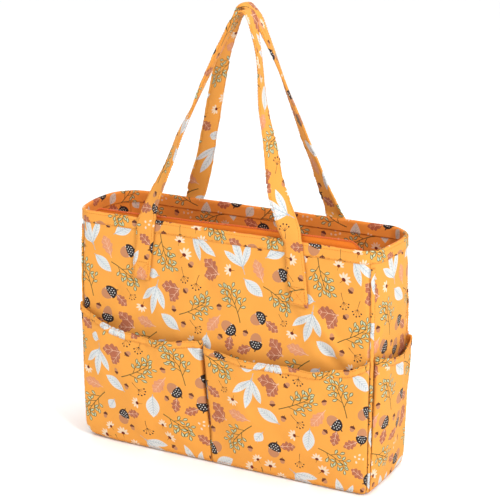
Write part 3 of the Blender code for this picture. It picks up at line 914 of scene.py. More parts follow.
# Each pocket: its face, its left and right edges at the foot and at the top, the line of its scooped top from
# left to right, and how far it stands out.
FRONT_LEFT = ("front", (-CORNER_A, -CORNER_A), (-0.0114, -0.0208),
              ((0.0, 0.181), (0.14, 0.171), (0.42, 0.155), (0.68, 0.153), (1.0, 0.161)), 0.011)
FRONT_RIGHT = ("front", (-0.0095, -0.0164), (CORNER_A, CORNER_A),
               ((0.0, 0.156), (0.28, 0.150), (0.62, 0.152), (0.84, 0.159), (1.0, 0.171)), 0.014)
LEFT_END = ("left", (-END_A, -END_A), (END_A, END_A), ((0.0, 0.170), (0.5, 0.162), (1.0, 0.175)), 0.010)
POCKETS = {
    "front_left_pocket": FRONT_LEFT,
    "front_right_pocket": FRONT_RIGHT,
    "rear_left_pocket": mirrored("rear", FRONT_LEFT),
    "rear_right_pocket": mirrored("rear", FRONT_RIGHT),
    "left_end_pocket": LEFT_END,
    "right_end_pocket": mirrored("right", LEFT_END),
}
SLIT_REACH = 0.03              # a pocket's edge nearer the middle of its face than this is at the slit
POCKET_FOOT = 0.0035
POCKET_OUT = 0.0017
POCKET_BAND = 0.0100
BAND_OUT = POCKET_OUT + 0.0010
POCKET_SWELLS = swell_terms(31, 8, (8, 24), (-5.0, 5.0))
POCKET_SWELL = 0.0021
# folds of a pocket, over its width and height taken as 0 to 1
ON_POCKETS = ((0.03, 0.97, -38), (0.97, 0.97, -142), (0.06, 0.05, 55), (0.94, 0.05, 125), (0.45, 0.98, -95),
              (0.70, 0.98, -80), (0.5, 0.02, 88))
POCKET_FOLDS = fold_lines(14, ON_POCKETS, 26, 2, (0.40, 0.80), (0.055, 0.100), (0.0018, 0.0036))


def pocket_top(points, u):
    """Height of a pocket's scooped top at u, from 0 at its left edge to 1 at its right."""
    top = np.full(np.shape(u), points[0][1])
    for (u0, z0), (u1, z1) in zip(points, points[1:]):
        share = 0.5 * smooth(u0, u1, u) + 0.5 * (u - u0) / (u1 - u0)
        top = np.where(u >= u0, z0 + (z1 - z0) * share, top)
    return top


def pocket_point(pocket, u, z, out):
    """A point on a filled pocket, which stands out most at its top and between its sides."""
    face, left, right, points, stand_out = pocket
    u = np.clip(u, 0.0, 1.0)
    v = np.clip((z - POCKET_FOOT) / (pocket_top(points, u) - POCKET_FOOT), 0.0, 1.0)
    a_left = left[0] + (left[1] - left[0]) * v
    a_right = right[0] + (right[1] - right[0]) * v
    a = a_left + (a_right - a_left) * u
    if face in LONG_FACES:
        steep = smooth(0.5, 0.0 if abs(left[1]) < SLIT_REACH else 1.0, u)
        creases = folds(POCKET_FOLDS, u, v)
    else:
        steep = 0.0
        creases = 0.6 * folds(POCKET_FOLDS, 1 - u, v)
    across = np.maximum(np.sin(pi * u), 0.0) ** (0.46 - 0.22 * steep)
    filled = 1 - (1 - v) ** 2.2
    swell = POCKET_SWELL * waves(POCKET_SWELLS, FACE_START[face] + a + face_halves(face)[0], z)
    fullness = across * (filled * stand_out + (swell + creases) * smooth(0.0, 0.05, z))
    return wall(face, a, z, out + fullness)


def pocket_width(pocket):
    """Width halfway up."""
    _, left, right, _, _ = pocket
    return (right[0] + right[1] - left[0] - left[1]) / 2


def build_pocket_body(name, pocket, width):
    face, (left, _), _, points, _ = pocket
    us = np.linspace(0.0, 1.0, int(width / 0.004))
    tops = pocket_top(points, us)
    cloth_tops = tops - POCKET_BAND + 0.003
    corners = np.concatenate([[(0.0, WALL_FOOT), (width, WALL_FOOT)],
                              np.stack([us * width, cloth_tops], axis=1)[::-1]])

    def body(p, q):
        u = p / width
        below = pocket_top(points, u) - POCKET_BAND - q
        side = np.minimum(p, width - p)
        at_sides = 0.9 * pucker(q, side) * smooth(0.0, 0.004, side)
        ripple = pucker(p, below) + at_sides + pucker(p + 0.05, q) * 0.8
        return pocket_point(pocket, u, q, POCKET_OUT + ripple)

    cloth = lay_cloth(name + "_cloth", even_outline(corners, 0.004), body,
                      origin=(FACE_START[face] / MM + left / MM + 57, 91.0))
    stand_for(cloth, "bag", "printed_cloth", name)


def build_pocket_band(name, pocket, width):
    """The folded band along a pocket's top, with its two rows of stitches."""
    face, (left, _), _, points, _ = pocket

    def band(p, q):
        u = p / width
        rise, out = fold_over(q, POCKET_BAND, BAND_OUT, POCKET_OUT - CLOTH)
        ripple = pucker(p, np.abs(q - 0.0012)) * smooth(POCKET_BAND, POCKET_BAND * 0.7, q)
        edge = 0.0005 * (smooth(0.0, 0.0012, q) - 1)
        return pocket_point(pocket, u, pocket_top(points, u) - POCKET_BAND + rise, out + ripple + edge)

    deep = 2 * POCKET_BAND - 0.001
    hem = lay_cloth(name + "_band_cloth", rectangle(0.0, 0.0, width, deep, 0.003), band,
                    origin=(FACE_START[face] / MM + left / MM + 31, 12.0), thickness=0.0006, spacing=0.003,
                    fine=0.0014, band=0.003)
    stand_for(hem, "bag", "printed_cloth", name + "_band")
    along = np.linspace(0.0015, width - 0.0015, int(width / 0.003))
    thread = sew(name + "_stitches", [with_normals(band, along, q) for q in (0.0013, 0.0078)])
    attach(thread, "bag")


for pocket_name, pocket in POCKETS.items():
    build_pocket_body(pocket_name, pocket, pocket_width(pocket))
    build_pocket_band(pocket_name, pocket, pocket_width(pocket))


# ---------------------------------------------------------------- corner welts
WELT_CUT = 0.0072              # flat width of a welt's strip
WELT_RISE = 0.0017
WELT_SPAN = (0.0040, 0.2790)
WELTS = {
    "front_left_corner_welt": ("left", 1),
    "front_right_corner_welt": ("right", -1),
    "rear_left_corner_welt": ("left", -1),
    "rear_right_corner_welt": ("right", 1),
}


def build_welt(name):
    face, side = WELTS[name]
    corner = DEPTH / 2 - 0.0004

    def surface(p, q):
        from_corner = p if side < 0 else WELT_CUT - p
        crown = np.sqrt(np.clip(1 - (np.abs(2 * from_corner / WELT_CUT - 1)) ** 3, 0.0, 1.0))
        wobble = 0.00025 * np.sin(tau * q / 0.013 + 2.1 * np.sin(tau * q / 0.061))
        a = side * (corner - from_corner * 0.80 - wobble)
        return wall(face, a, q, 0.0002 + WELT_RISE * crown + wobble * 0.6)

    strip = lay_cloth(name + "_cloth", rectangle(0.0, WELT_SPAN[0], WELT_CUT, WELT_SPAN[1], 0.003), surface,
                      origin=(FACE_START[face] / MM + 13 * side, 77.0), thickness=0.0005, spacing=0.003,
                      fine=0.0009, band=0.004)
    stand_for(strip, "bag", "printed_cloth", name)
    up = np.linspace(WELT_SPAN[0] + 0.002, WELT_SPAN[1] - 0.001, 90)
    row = WELT_CUT * (0.80 if side < 0 else 0.20)
    thread = sew(name + "_stitches", [with_normals(surface, np.full(len(up), row), up)])
    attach(thread, "bag")


for welt_name in WELTS:
    build_welt(welt_name)


def sew_round(name, heights, out, inset):
    """Rows of stitches round the bag, a height each, out from the walls."""
    lines = []
    for face in FACES:
        def surface(a, z):
            return wall(face, a, z, out)

        half = face_halves(face)[0]
        along = np.linspace(-half + inset, half - inset, int(half / 0.0015))
        lines += [with_normals(surface, along, z) for z in heights]
    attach(sew(name, lines), "bag")


sew_round("hem_stitches", (HEM_FOOT + 0.0016, HEIGHT - 0.0032), HEM_OUT, 0.001)
# the closing seam round the foot, through the pockets' lower edges
sew_round("base_seam_stitches", (0.0046,), POCKET_OUT + 0.0002, 0.003)


# ---------------------------------------------------------------- base
NEAR_CORNERS = np.array((0.984, 0.992, 0.997))  # extra points close to the corners, as shares of a half face


def plan_outline(z, out, step=0.006):
    """The bag's plan at a height, anticlockwise seen from above."""
    rounds = []
    for face in FACES:
        half = face_halves(face)[0]
        a = np.linspace(-half, half, int(2 * half / step) + 1)[:-1]
        a = np.unique(np.concatenate([a, -half * NEAR_CORNERS, half * NEAR_CORNERS]))
        rounds.append(wall(face, a, z, out)[:, :2])
    return np.concatenate(rounds)


FLOOR_GAP = 0.0001             # the base's lowest point above the ground


def build_base():
    outline = plan_outline(WALL_FOOT, 0.0)

    def under(x, y):
        x, y = np.broadcast_arrays(np.asarray(x, float), np.asarray(y, float))
        edge = edge_distance(np.stack([x.ravel(), y.ravel()], axis=1), outline).reshape(x.shape)
        rise = (WALL_FOOT - FLOOR_GAP) * (1 - smooth(0.0, 0.006, edge))
        return np.stack([x, y, FLOOR_GAP + rise], axis=-1)

    bottom = lay_cloth("base_panel_cloth", outline, under, origin=(40.0, 20.0), faces_in=True,
                       thickness=0.0008)
    stand_for(bottom, "bag", "printed_cloth", "base_panel")


def build_base_lining():
    board_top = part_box("base_board")[1].z

    def over(x, y):
        dip = 0.0004 * np.sin(x / 0.021) * np.sin(y / 0.017 + 1.0)
        return np.stack([x, y, board_top + 0.0013 + dip], axis=-1)

    # the base lining takes the print colours with painted shade
    lining = lay_cloth("base_lining_cloth", plan_outline(0.0062, -0.0035), over, origin=(90.0, 50.0),
                       thickness=LINING, materials=painted_shade_dyes, spacing=0.006)
    stand_for(lining, "bag", "lining_cloth", "base_lining")


build_base()
build_base_lining()


# ---------------------------------------------------------------- straps
STRAP_WIDTH = 0.0254
STRAP_THICK = 0.0022
STRAP_FOOT_Z = 0.2235
STRAP_FOOT_X = 0.1060
STRAP_RIM_X = 0.0965
SEWN_OUT = 0.0026              # how far the strap's middle stands out from the wall it is sewn to
SQUARE_FROM = 0.08             # share of the free run past which the strap's width is square to it
BOX_SIDE = 0.0090              # half width of the stitched box, and its ends along the strap
BOX_FOOT, BOX_TOP = 0.0025, 0.0230
# Each route runs from the rim on the left to the rim on the right: x, y, height, and the strap's turn about
# the vertical in degrees.
ROUTES = {
    "front": (
        (-0.0965, -0.0578, 0.3004, 0),
        (-0.0925, -0.0566, 0.3150, -20),
        (-0.0740, -0.0515, 0.3590, -42),
        (-0.0540, -0.0432, 0.4130, -54),
        (-0.0370, -0.0362, 0.4520, -72),
        (-0.0225, -0.0290, 0.4880, -80),
        (-0.0070, -0.0212, 0.5240, -86),
        (0.0035, -0.0165, 0.5435, -90),
        (0.0135, -0.0150, 0.5515, -90),
        (0.0230, -0.0168, 0.5430, -88),
        (0.0320, -0.0225, 0.5180, -76),
        (0.0400, -0.0290, 0.4860, -74),
        (0.0475, -0.0365, 0.4500, -84),
        (0.0590, -0.0435, 0.4110, -96),
        (0.0735, -0.0520, 0.3560, -122),
        (0.0915, -0.0566, 0.3150, -160),
        (0.0965, -0.0578, 0.3004, -180),
    ),
    "rear": (
        (-0.0965, 0.0578, 0.3004, 0),
        (-0.0925, 0.0566, 0.3150, 20),
        (-0.0790, 0.0525, 0.3560, 56),
        (-0.0680, 0.0465, 0.3960, 64),
        (-0.0565, 0.0402, 0.4370, 68),
        (-0.0445, 0.0325, 0.4780, 72),
        (-0.0310, 0.0260, 0.5100, 78),
        (-0.0160, 0.0190, 0.5350, 86),
        (-0.0035, 0.0152, 0.5550, 88),
        (0.0110, 0.0175, 0.5420, 92),
        (0.0190, 0.0225, 0.5220, 100),
        (0.0290, 0.0285, 0.4960, 112),
        (0.0410, 0.0355, 0.4560, 124),
        (0.0560, 0.0425, 0.4140, 136),
        (0.0730, 0.0510, 0.3640, 144),
        (0.0915, 0.0566, 0.3150, 160),
        (0.0965, 0.0578, 0.3004, 180),
    ),
}


def route_points(route, count):
    """Smooth (Catmull-Rom) positions and turns along a route."""
    knots = np.array(route, float)
    knots = np.concatenate([[2 * knots[0] - knots[1]], knots, [2 * knots[-1] - knots[-2]]])
    spans = len(knots) - 3
    place = np.linspace(0.0, spans - 1e-9, count)
    i = place.astype(int)
    f = (place - i)[:, None]
    p0, p1, p2, p3 = (knots[i + k] for k in range(4))
    return 0.5 * (2 * p1 + (p2 - p0) * f + (2 * p0 - 5 * p1 + 4 * p2 - p3) * f ** 2
                  + (3 * p1 - p0 - 3 * p2 + p3) * f ** 3)


def free_run(side):
    """Middle line of a strap above the rim, and the direction across it."""
    spots = route_points(ROUTES[side], 150)
    middle = spots[:, :3].copy()
    share = np.linspace(0.0, 1.0, len(middle))
    near_rim = 1 - smooth(0.0, 0.05, np.minimum(share, 1 - share))
    middle[:, 1] += (-1 if side == "front" else 1) * 0.0008 * near_rim
    run = unit(np.gradient(middle, axis=0))
    turn = np.radians(spots[:, 3])
    across = np.stack([np.cos(turn), np.sin(turn), np.zeros(len(turn))], axis=1)
    square = smooth(0.0, SQUARE_FROM, np.minimum(share, 1 - share))[:, None]
    across = unit(across - run * (across * run).sum(1)[:, None] * square)
    return middle, across


def sewn_run(side, sign):
    """Middle line of a strap's sewn end, from its foot up to the rim."""
    facing = 1 if side == "front" else -1
    v = np.linspace(0.0, 0.985, 24)
    a = facing * sign * (STRAP_FOOT_X + (STRAP_RIM_X - STRAP_FOOT_X) * v)
    z = STRAP_FOOT_Z + (HEIGHT - STRAP_FOOT_Z) * v
    middle = wall(side, a, z, SEWN_OUT)
    across = unit(wall(side, a + 0.006, z, SEWN_OUT) - wall(side, a - 0.006, z, SEWN_OUT)) * facing
    return middle, across


def strap_run(side):
    """The whole strap, foot to foot: middle line, direction across and distance along."""
    left, left_across = sewn_run(side, -1)
    free, free_across = free_run(side)
    right, right_across = sewn_run(side, 1)
    middle = np.concatenate([left, free[1:-1], right[::-1]])
    across = np.concatenate([left_across, free_across[1:-1], -right_across[::-1]])
    return middle, across, distances(middle)


def section(p, around):
    """Across and outward shares of the strap's flat, round-edged section, from the middle of its back."""
    flat_part = STRAP_WIDTH - STRAP_THICK
    radius = STRAP_THICK / 2
    arc = pi * radius
    d = np.mod(p + around - flat_part / 2, around)
    on_right = np.clip((d - flat_part) / arc, 0.0, 1.0) * pi
    on_left = np.clip((d - 2 * flat_part - arc) / arc, 0.0, 1.0) * pi
    x = np.where(d < flat_part, -flat_part / 2 + d, flat_part / 2 + radius * np.sin(on_right))
    back = np.clip(d - flat_part - arc, 0.0, flat_part)
    x = np.where(d > flat_part + arc, flat_part / 2 - back - radius * np.sin(on_left), x)
    y = np.where(d < flat_part, radius, radius * np.cos(on_right))
    y = np.where(d > 2 * flat_part + arc, -radius * np.cos(on_left), y)
    return x, y


def strap_surface(side):
    """place(x, y, q), a point x across the strap, y out from its middle and q along it; and its length."""
    middle, across, far = strap_run(side)
    length = far[-1]

    def place(x, y, q):
        q = np.asarray(q, float)
        centre = between(middle, far, q)
        over = unit(between(across, far, q))
        run = unit(between(middle, far, q + 0.002) - between(middle, far, q - 0.002))
        outward = unit(np.cross(over, run))
        from_end = np.minimum(q, length - q)
        flat_end = 0.35 + 0.65 * np.sqrt(np.clip(from_end / 0.0015, 0.0, 1.0))
        free = smooth(0.08, 0.11, from_end)
        edge = np.clip(np.abs(x) / (STRAP_WIDTH / 2), 0, 1)
        crown = 0.0004 * (1 - edge ** 2) * np.sign(y)
        ripple = 0.00022 * np.sin(tau * q / 0.0095 + 2.0 * np.sin(tau * q / 0.047)) * edge ** 3
        cup = 0.0011 * free * (edge ** 2 - 0.4)
        sway = 0.0004 * free * np.sin(tau * q / 0.083 + 1.3 * np.sin(tau * q / 0.19))
        raised = (y + crown) * flat_end + ripple + cup + sway
        return centre + over * x[..., None] + outward * raised[..., None]

    return place, length


def facing_line(place, x, y, q):
    """A line just above a face of the strap, and which way that face looks."""
    line = place(x, np.full(len(q), y), q)
    facing = unit(line - place(x, np.full(len(q), -y), q))
    return line + facing * 0.0001, facing


def bend_at_rim(piece):
    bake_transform(piece)


def build_strap(side, place, length):
    around = 2 * (STRAP_WIDTH - STRAP_THICK) + pi * STRAP_THICK

    def surface(p, q):
        return place(*section(p, around), q)

    strap = lay_cloth(side + "_strap_cloth", rectangle(0.0, 0.0, around, length), surface,
                      origin=(17.0 if side == "front" else 96.0, 65.0), turn=-8.0, thickness=0.0004,
                      fine=0.003)
    bend_at_rim(strap)
    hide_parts(side + "_strap", side + "_strap_left_end", side + "_strap_right_end")


def build_strap_edges(side, place, length):
    """A row of stitches along each edge of the strap, on both faces."""
    q = np.linspace(0.0025, length - 0.0025, int(length / 0.0035))
    rows = [facing_line(place, np.full(len(q), x * (STRAP_WIDTH / 2 - 0.0026)), y, q)
            for y in (STRAP_THICK / 2, -STRAP_THICK / 2) for x in (-1, 1)]
    bend_at_rim(sew(side + "_strap_edge_stitches", rows))


def build_strap_box(side, foot, place, length):
    """The crossed box of stitches that holds a strap's end to the wall."""
    left_foot, right_foot = (-BOX_SIDE, BOX_FOOT), (BOX_SIDE, BOX_FOOT)
    left_top, right_top = (-BOX_SIDE, BOX_TOP), (BOX_SIDE, BOX_TOP)
    corners = (left_foot, right_foot, right_top, left_top, left_foot, right_top, left_top, right_foot)
    outward = STRAP_THICK / 2 if side == "front" else -STRAP_THICK / 2
    f = np.linspace(0.0, 1.0, 14)
    rows = []
    for (x0, q0), (x1, q1) in zip(corners, corners[1:]):
        q = q0 + (q1 - q0) * f
        rows.append(facing_line(place, x0 + (x1 - x0) * f, outward, q if foot == "left" else length - q))
    box = sew(f"{side}_strap_{foot}_box_stitches", rows)
    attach(box, "bag")
    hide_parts(f"{side}_strap_{foot}_stitches")


for strap_side in ("front", "rear"):
    strap_place, strap_length = strap_surface(strap_side)
    build_strap(strap_side, strap_place, strap_length)
    build_strap_edges(strap_side, strap_place, strap_length)
    for strap_foot in ("left", "right"):
        build_strap_box(strap_side, strap_foot, strap_place, strap_length)


# ---------------------------------------------------------------- zip
ZIP_SEAM_Z = 0.2580
ZIP_SEAM_Y = 0.0500
ZIP_HALF = {"front": 0.181, "rear": 0.171}
ZIP_TURN = {"front": radians(1.6), "rear": pi - radians(1.6)}
COIL_H = 0.0494                # the coil's height above the fold, along the flap
COIL_R = 0.0012
COIL_PITCH = 0.0013
COIL_WIRE = 0.00034
COIL_STEPS = 9                 # points to a turn
WIRE_SIDES = 5
FLAP_SPAN = (0.0005, 0.0372)   # heights up the flap of its cloth and of the zip's tape
TAPE_SPAN = (0.0355, 0.0486)
SEAM_TALL = 0.0116


def flap_axes(side):
    turn = ZIP_TURN[side]
    fold = np.array([0.0, -ZIP_SEAM_Y if side == "front" else ZIP_SEAM_Y, ZIP_SEAM_Z])
    up = np.array([0.0, -sin(turn), cos(turn)])
    inward = np.array([0.0, cos(turn), sin(turn)])
    return fold, up, inward


def flap_point(side, x, h, off=0.0):
    """A point on a zip flap: h up the flap from its fold, off towards the middle of the bag."""
    fold, up, inward = flap_axes(side)
    x, h, off = np.broadcast_arrays(np.asarray(x, float), np.asarray(h, float), np.asarray(off, float))
    reach = ZIP_HALF[side]
    if side == "front":
        tall = 0.890 + 0.110 * smooth(-0.18, 0.16, x)
        tall = tall - 0.150 * smooth(reach - 0.014, reach, np.abs(x))
    else:
        tall = 1.0 - 0.06 * smooth(reach - 0.005, reach, np.abs(x))
    share = np.clip(h / COIL_H, 0.0, 1.0)
    wave = 1 + np.sin(tau * x / 0.150 + 0.6) * np.sin(tau * x / 0.47 + 1.0)
    # the standing flap waves along its top, while the slider keeps the hanging one's coil straight
    sway = 0.0011 * wave * (share ** 1.5 if side == "front" else np.sin(pi * share))
    points = fold + np.stack([x, 0 * x, 0 * x], axis=-1)
    return points + up * (h * tall)[..., None] + inward * (off + sway)[..., None]


def wind_coil(name, at, length, radius):
    """Nylon wire wound round a line, for which at(distance) gives the middle and two side directions."""
    count = int(length / COIL_PITCH * COIL_STEPS)
    d = np.linspace(0.0, length, count)
    middle, one, two = at(d)
    turn = tau * d / COIL_PITCH
    spine = middle + one * (radius * np.cos(turn))[:, None] + two * (radius * np.sin(turn))[:, None]
    run = unit(np.gradient(spine, axis=0))
    out = unit(spine - middle)
    side = np.cross(run, out)
    rings = [spine + out * COIL_WIRE * cos(w) + side * COIL_WIRE * sin(w)
             for w in np.linspace(0, tau, WIRE_SIDES + 1)[:-1]]
    points = np.stack(rings, axis=1).reshape(-1, 3)
    faces = []
    for first in range(0, (count - 1) * WIRE_SIDES, WIRE_SIDES):
        for k in range(WIRE_SIDES):
            a, b = first + k, first + (k + 1) % WIRE_SIDES
            faces.append((a, b, b + WIRE_SIDES, a + WIRE_SIDES))
    faces.append(tuple(range(WIRE_SIDES))[::-1])
    faces.append(tuple(range((count - 1) * WIRE_SIDES, count * WIRE_SIDES)))
    return new_piece(name, points, faces, np.zeros(len(faces), int), [nylon])


def flap_back(side):
    """The back of a zip flap, as a surface."""
    return lambda x, h: flap_point(side, x, h, -0.0004 + pucker(x, 0.036 - h) * 0.6)


def build_flap(side, reach):
    # the flap hangs inside the bag and takes the print colours with painted shade
    flap = lay_cloth(side + "_zipper_flap_cloth", rectangle(-reach, FLAP_SPAN[0], reach, FLAP_SPAN[1]),
                     flap_back(side), origin=(33.0 if side == "front" else 140.0, 52.0), thickness=0.0006,
                     spacing=0.006, fine=0.004, materials=painted_shade_dyes, print_back=True)
    stand_for(flap, side + "_closure", "zipper_tape", side + "_zipper_flap")


def build_tape(side, reach):
    """The zip's ribbed tape, which comes forward where it runs under the coil."""
    def face(x, h):
        rib = 0.0001 * np.cos(tau * (h - 0.0362) / 0.0022)
        forward = smooth(0.0440, 0.0460, h)
        return flap_point(side, x, h, -0.0009 + 0.0006 * forward + rib)

    tape = lay_cloth(side + "_zipper_tape_cloth", rectangle(-reach, TAPE_SPAN[0], reach, TAPE_SPAN[1], 0.003),
                     face, plain=True, thickness=0.0006, spacing=0.003, fine=0.0011, band=0.004,
                     materials=[tape_dye])
    stand_for(tape, side + "_closure", "zipper_tape", side + "_zipper_tape")


def build_coil(side, reach):
    _, up, inward = flap_axes(side)

    def at(d):
        return flap_point(side, d - reach, COIL_H), up, inward

    coil = wind_coil(side + "_zipper_coil_teeth", at, 2 * reach, COIL_R - COIL_WIRE)
    stand_for(coil, side + "_closure", "zipper_coil", side + "_zipper_coil")


def build_zip_seam(side, reach):
    """The bound seam that holds a zip flap to the wall."""
    out = -1 if side == "front" else 1

    def face(x, h):
        ridge = 0.0008 * np.sqrt(np.clip(1 - (np.abs(h / 0.0058 - 1)) ** 4, 0.0, 1.0))
        y = out * (ZIP_SEAM_Y + 0.0009) - out * ridge + pucker(x, np.abs(h - 0.009)) * 0.5
        return np.stack([x, y * np.ones_like(x), ZIP_SEAM_Z - 0.0122 + h], axis=-1)

    seam = lay_cloth(side + "_zipper_seam_cloth", rectangle(-reach, 0.0, reach, SEAM_TALL, 0.003), face,
                     plain=True, thickness=0.0012, faces_in=side == "front", spacing=0.003, fine=0.0015,
                     band=0.003, materials=[tape_dye])
    stand_for(seam, "bag", "zipper_tape", side + "_zipper_seam")


def build_flap_stitches(side, reach):
    back, facing = with_normals(flap_back(side), np.linspace(-reach + 0.002, reach - 0.002, 120), 0.0350)
    thread = sew(side + "_zipper_stitches", [(back, facing), (back - facing * 0.0012, -facing)])
    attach(thread, side + "_closure")


def plate(outline, holes, low, high):
    """A flat plate with holes, between two heights: points and faces."""
    flat, triangles, sources = triangulate([anticlockwise(np.asarray(r, float)) for r in [outline] + holes])
    kept = np.array([t for t, source in zip(triangles, sources) if source == [0]])
    count = len(flat)
    points = np.concatenate([np.column_stack([flat, np.full(count, z)]) for z in (low, high)])
    sides = [(a, b, b + count, a + count) for a, b in rim_edges(kept)]
    return points, (kept + count).tolist() + kept[:, ::-1].tolist() + sides


def rounded_bar(x0, y0, x1, y1, radius, steps=6):
    """A rectangle's outline with rounded corners."""
    points = []
    for cx, cy, turn in ((x1 - radius, y1 - radius, 0), (x0 + radius, y1 - radius, 90),
                         (x0 + radius, y0 + radius, 180), (x1 - radius, y0 + radius, 270)):
        for k in range(steps + 1):
            w = radians(turn + 90 * k / steps)
            points.append((cx + radius * cos(w), cy + radius * sin(w)))
    return np.array(points)


def metal_piece(name, parts, axes, origin, body, replaced):
    """Joins plates, places them by three axes and an origin, and rounds their edges."""
    points, faces = [], []
    for part_points, part_faces in parts:
        faces += [tuple(len(points) + i for i in face) for face in part_faces]
        points += part_points.tolist()
    placed = np.array(points) @ np.array(axes) + origin
    made = new_piece(name, placed, faces, np.zeros(len(faces), int), [gold])
    made.data.shade_flat()
    soften = made.modifiers.new("soften", "BEVEL")
    soften.width = 0.00022
    soften.segments = 2
    soften.limit_method = "ANGLE"
    stand_for(made, body, "slider_metal", replaced)


SLIDER_X = 0.158


def build_slider():
    """Two shield-shaped plates round the coil, with lips, a post between them and a bridge for the pull."""
    fold, up, inward = flap_axes("rear")
    axes = [(1.0, 0.0, 0.0), up, inward]
    origin = fold + up * (COIL_H + 0.0004) + np.array([SLIDER_X, 0.0, 0.0])
    shield = np.array([(-0.0062, -0.0026), (-0.0050, -0.0034), (0.0010, -0.0046), (0.0045, -0.0048),
                       (0.0062, -0.0034), (0.0064, 0.0), (0.0062, 0.0034), (0.0045, 0.0048), (0.0010, 0.0046),
                       (-0.0050, 0.0034), (-0.0062, 0.0026)])
    parts = [plate(shield, [], 0.0019, 0.0029), plate(shield, [], -0.0029, -0.0019)]
    for sign in (-1, 1):
        lip = np.array([(-0.0050, 0.0026), (0.0010, 0.0038), (0.0045, 0.0040), (0.0045, 0.0048),
                        (0.0010, 0.0046), (-0.0050, 0.0034)]) * (1, sign)
        parts += [plate(lip, [], 0.0009, 0.0019), plate(lip, [], -0.0019, -0.0009)]
    parts.append(plate(rounded_bar(0.0040, -0.0010, 0.0062, 0.0010, 0.0008), [], -0.0019, 0.0019))
    for x in (-0.0040, 0.0022):
        parts.append(plate(rounded_bar(x, -0.0008, x + 0.0012, 0.0008, 0.0003), [], 0.0029, 0.0049))
    parts.append(plate(rounded_bar(-0.0040, -0.0008, 0.0034, 0.0008, 0.0003), [], 0.0049, 0.0056))
    metal_piece("zipper_slider_body", parts, axes, origin, "slider", "zipper_slider")


def build_pull():
    """A flat pull with an eye at the bridge and a slot at its tip."""
    low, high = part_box("zipper_pull")
    _, up, inward = flap_axes("rear")
    axes = [(1.0, 0.0, 0.0), up, inward]
    middle = (np.array(low) + np.array(high)) / 2
    half, deep = (high.x - low.x) / 2, 0.0031
    body = rounded_bar(-half, -deep, half, deep, 0.0026)
    eye = rounded_bar(half - 0.0042, -0.0018, half - 0.0012, 0.0018, 0.0012)
    slot = rounded_bar(-half + 0.0020, -0.0011, -half + 0.0120, 0.0011, 0.0010)
    rib = rounded_bar(-half + 0.0140, -0.0016, half - 0.0060, 0.0016, 0.0012)
    parts = [plate(body, [eye, slot], -0.0005, 0.0005), plate(rib, [], 0.0005, 0.0008)]
    metal_piece("zipper_pull_tab", parts, axes, middle, "pull", "zipper_pull")


TAIL_X = 0.1975
TAIL_TURN = radians(1.6)
TAIL_LENGTH = 0.0400


def tail_point(y, h, off=0.0):
    down = np.array([-sin(TAIL_TURN), 0.0, -cos(TAIL_TURN)])
    inward = np.array([-cos(TAIL_TURN), 0.0, sin(TAIL_TURN)])
    y, h, off = np.broadcast_arrays(np.asarray(y, float), np.asarray(h, float), np.asarray(off, float))
    points = np.array([TAIL_X, 0.0, ZIP_SEAM_Z]) + np.stack([0 * y, y, 0 * y], axis=-1)
    return points + down * h[..., None] + inward * off[..., None]


def build_tail():
    """The zip's tape past the end of the bag, hanging inside."""
    def face(y, q):
        return tail_point(y, TAIL_LENGTH - q, 0.0004 + 0.0003 * np.cos(tau * y / 0.012))

    tape = lay_cloth("zipper_tail_cloth", rectangle(-0.0118, 0.0, 0.0118, TAIL_LENGTH - 0.0006, 0.002), face,
                     plain=True, thickness=0.0009, faces_in=True, spacing=0.002, fine=0.0012,
                     materials=[tape_dye])
    stand_for(tape, "tail", "zipper_tape", "zipper_tail")


def build_tail_coil():
    across = np.array((0.0, 1.0, 0.0))
    inward = np.array((-cos(TAIL_TURN), 0.0, sin(TAIL_TURN)))

    def at(d):
        return tail_point(np.zeros(len(d)), TAIL_LENGTH - 0.001 - d, 0.0013), across, inward

    coil = wind_coil("zipper_tail_coil", at, TAIL_LENGTH - 0.003, 0.0007)
    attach(coil, "tail")


def build_tail_clip():
    """The bent metal end of the tail, and the strip of it that grips the tape."""
    bend = np.array([(-0.0014, 0.0), (-0.0014, -0.0054), (-0.0008, -0.0065), (0.0008, -0.0065),
                     (0.0014, -0.0054), (0.0014, 0.0), (0.0009, 0.0), (0.0009, -0.0050), (-0.0009, -0.0050),
                     (-0.0009, 0.0)])
    axes = [(cos(TAIL_TURN), 0.0, -sin(TAIL_TURN)), (sin(TAIL_TURN), 0.0, cos(TAIL_TURN)), (0.0, 1.0, 0.0)]
    origin = tail_point(0.0, TAIL_LENGTH + 0.0002)
    grip = np.array([(-0.0008, -0.0004), (0.0008, -0.0004), (0.0008, -0.0048), (-0.0008, -0.0048)])
    parts = [plate(bend, [], -0.0096, 0.0096), plate(grip, [], -0.0088, 0.0088)]
    metal_piece("zipper_tail_clip_metal", parts, axes, origin, "tail", "zipper_tail_clip")


def build_board():
    """The card stiffener, cut to the plan of the bag's foot."""
    low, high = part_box("base_board")
    points, faces = plate(plan_outline(low.z, -0.0016), [], low.z, high.z)
    board = new_piece("base_board_card", points, faces, np.zeros(len(faces), int), [card])
    board.data.shade_flat()
    stand_for(board, "bag", "base_board", "base_board")


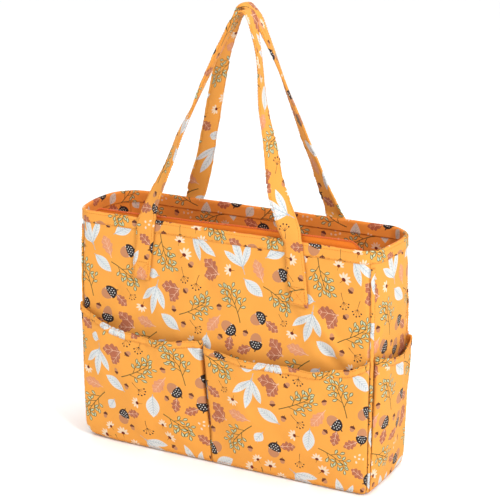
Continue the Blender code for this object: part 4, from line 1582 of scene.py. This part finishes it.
for zip_side, zip_reach in ZIP_HALF.items():
    for build in (build_flap, build_tape, build_coil, build_zip_seam, build_flap_stitches):
        build(zip_side, zip_reach)
build_slider()
build_pull()
build_tail()
build_tail_coil()
build_tail_clip()
build_board()


# ---------------------------------------------------------------- camera, light and floor
AZIMUTH, ELEVATION = radians(27.81), radians(17.1)
TARGET = Vector((0.01175, 0.0, 0.2614))
DISTANCE = 1.9048
LENS = 113.87


def build_camera():
    back = Vector((sin(AZIMUTH) * cos(ELEVATION), -cos(AZIMUTH) * cos(ELEVATION), sin(ELEVATION)))
    data = bpy.data.cameras.new("camera")
    data.lens = LENS
    data.sensor_width = 36.0
    camera = bpy.data.objects.new("camera", data)
    camera.location = TARGET + back * DISTANCE
    camera.rotation_euler = (-back).to_track_quat("-Z", "Y").to_euler()
    bpy.context.scene.collection.objects.link(camera)
    bpy.context.scene.camera = camera


def area_light(name, place, size, power, aim=(0.0, 0.0, 0.2)):
    data = bpy.data.lights.new(name, "AREA")
    data.shape = "DISK"
    data.size = size
    data.energy = power
    lamp = bpy.data.objects.new(name, data)
    lamp.location = place
    lamp.rotation_euler = (Vector(aim) - Vector(place)).to_track_quat("-Z", "Y").to_euler()
    bpy.context.scene.collection.objects.link(lamp)


def build_studio():
    world = bpy.data.worlds.new("studio")
    world.use_nodes = True
    backdrop = world.node_tree.nodes["Background"]
    feed(world.node_tree, backdrop, {"Color": (1.0, 1.0, 1.0, 1.0), "Strength": 1.02})
    bpy.context.scene.world = world
    area_light("key", (1.9, -1.1, 1.7), 0.6, 40)
    area_light("fill", (-1.2, -1.9, 1.2), 1.8, 6)
    area_light("top", (0.2, 0.5, 2.2), 1.6, 10)
    bpy.ops.mesh.primitive_plane_add(size=12.0, location=(0.0, 0.0, -0.0004))
    floor = bpy.context.object
    floor.name = "floor"
    paper, tree, shader = new_material("floor_paper")
    feed(tree, shader, {"Base Color": (0.96, 0.96, 0.96, 1.0), "Roughness": 0.9})
    floor.data.materials.append(paper)
    bpy.context.scene.view_settings.view_transform = "Standard"


build_camera()
build_studio()
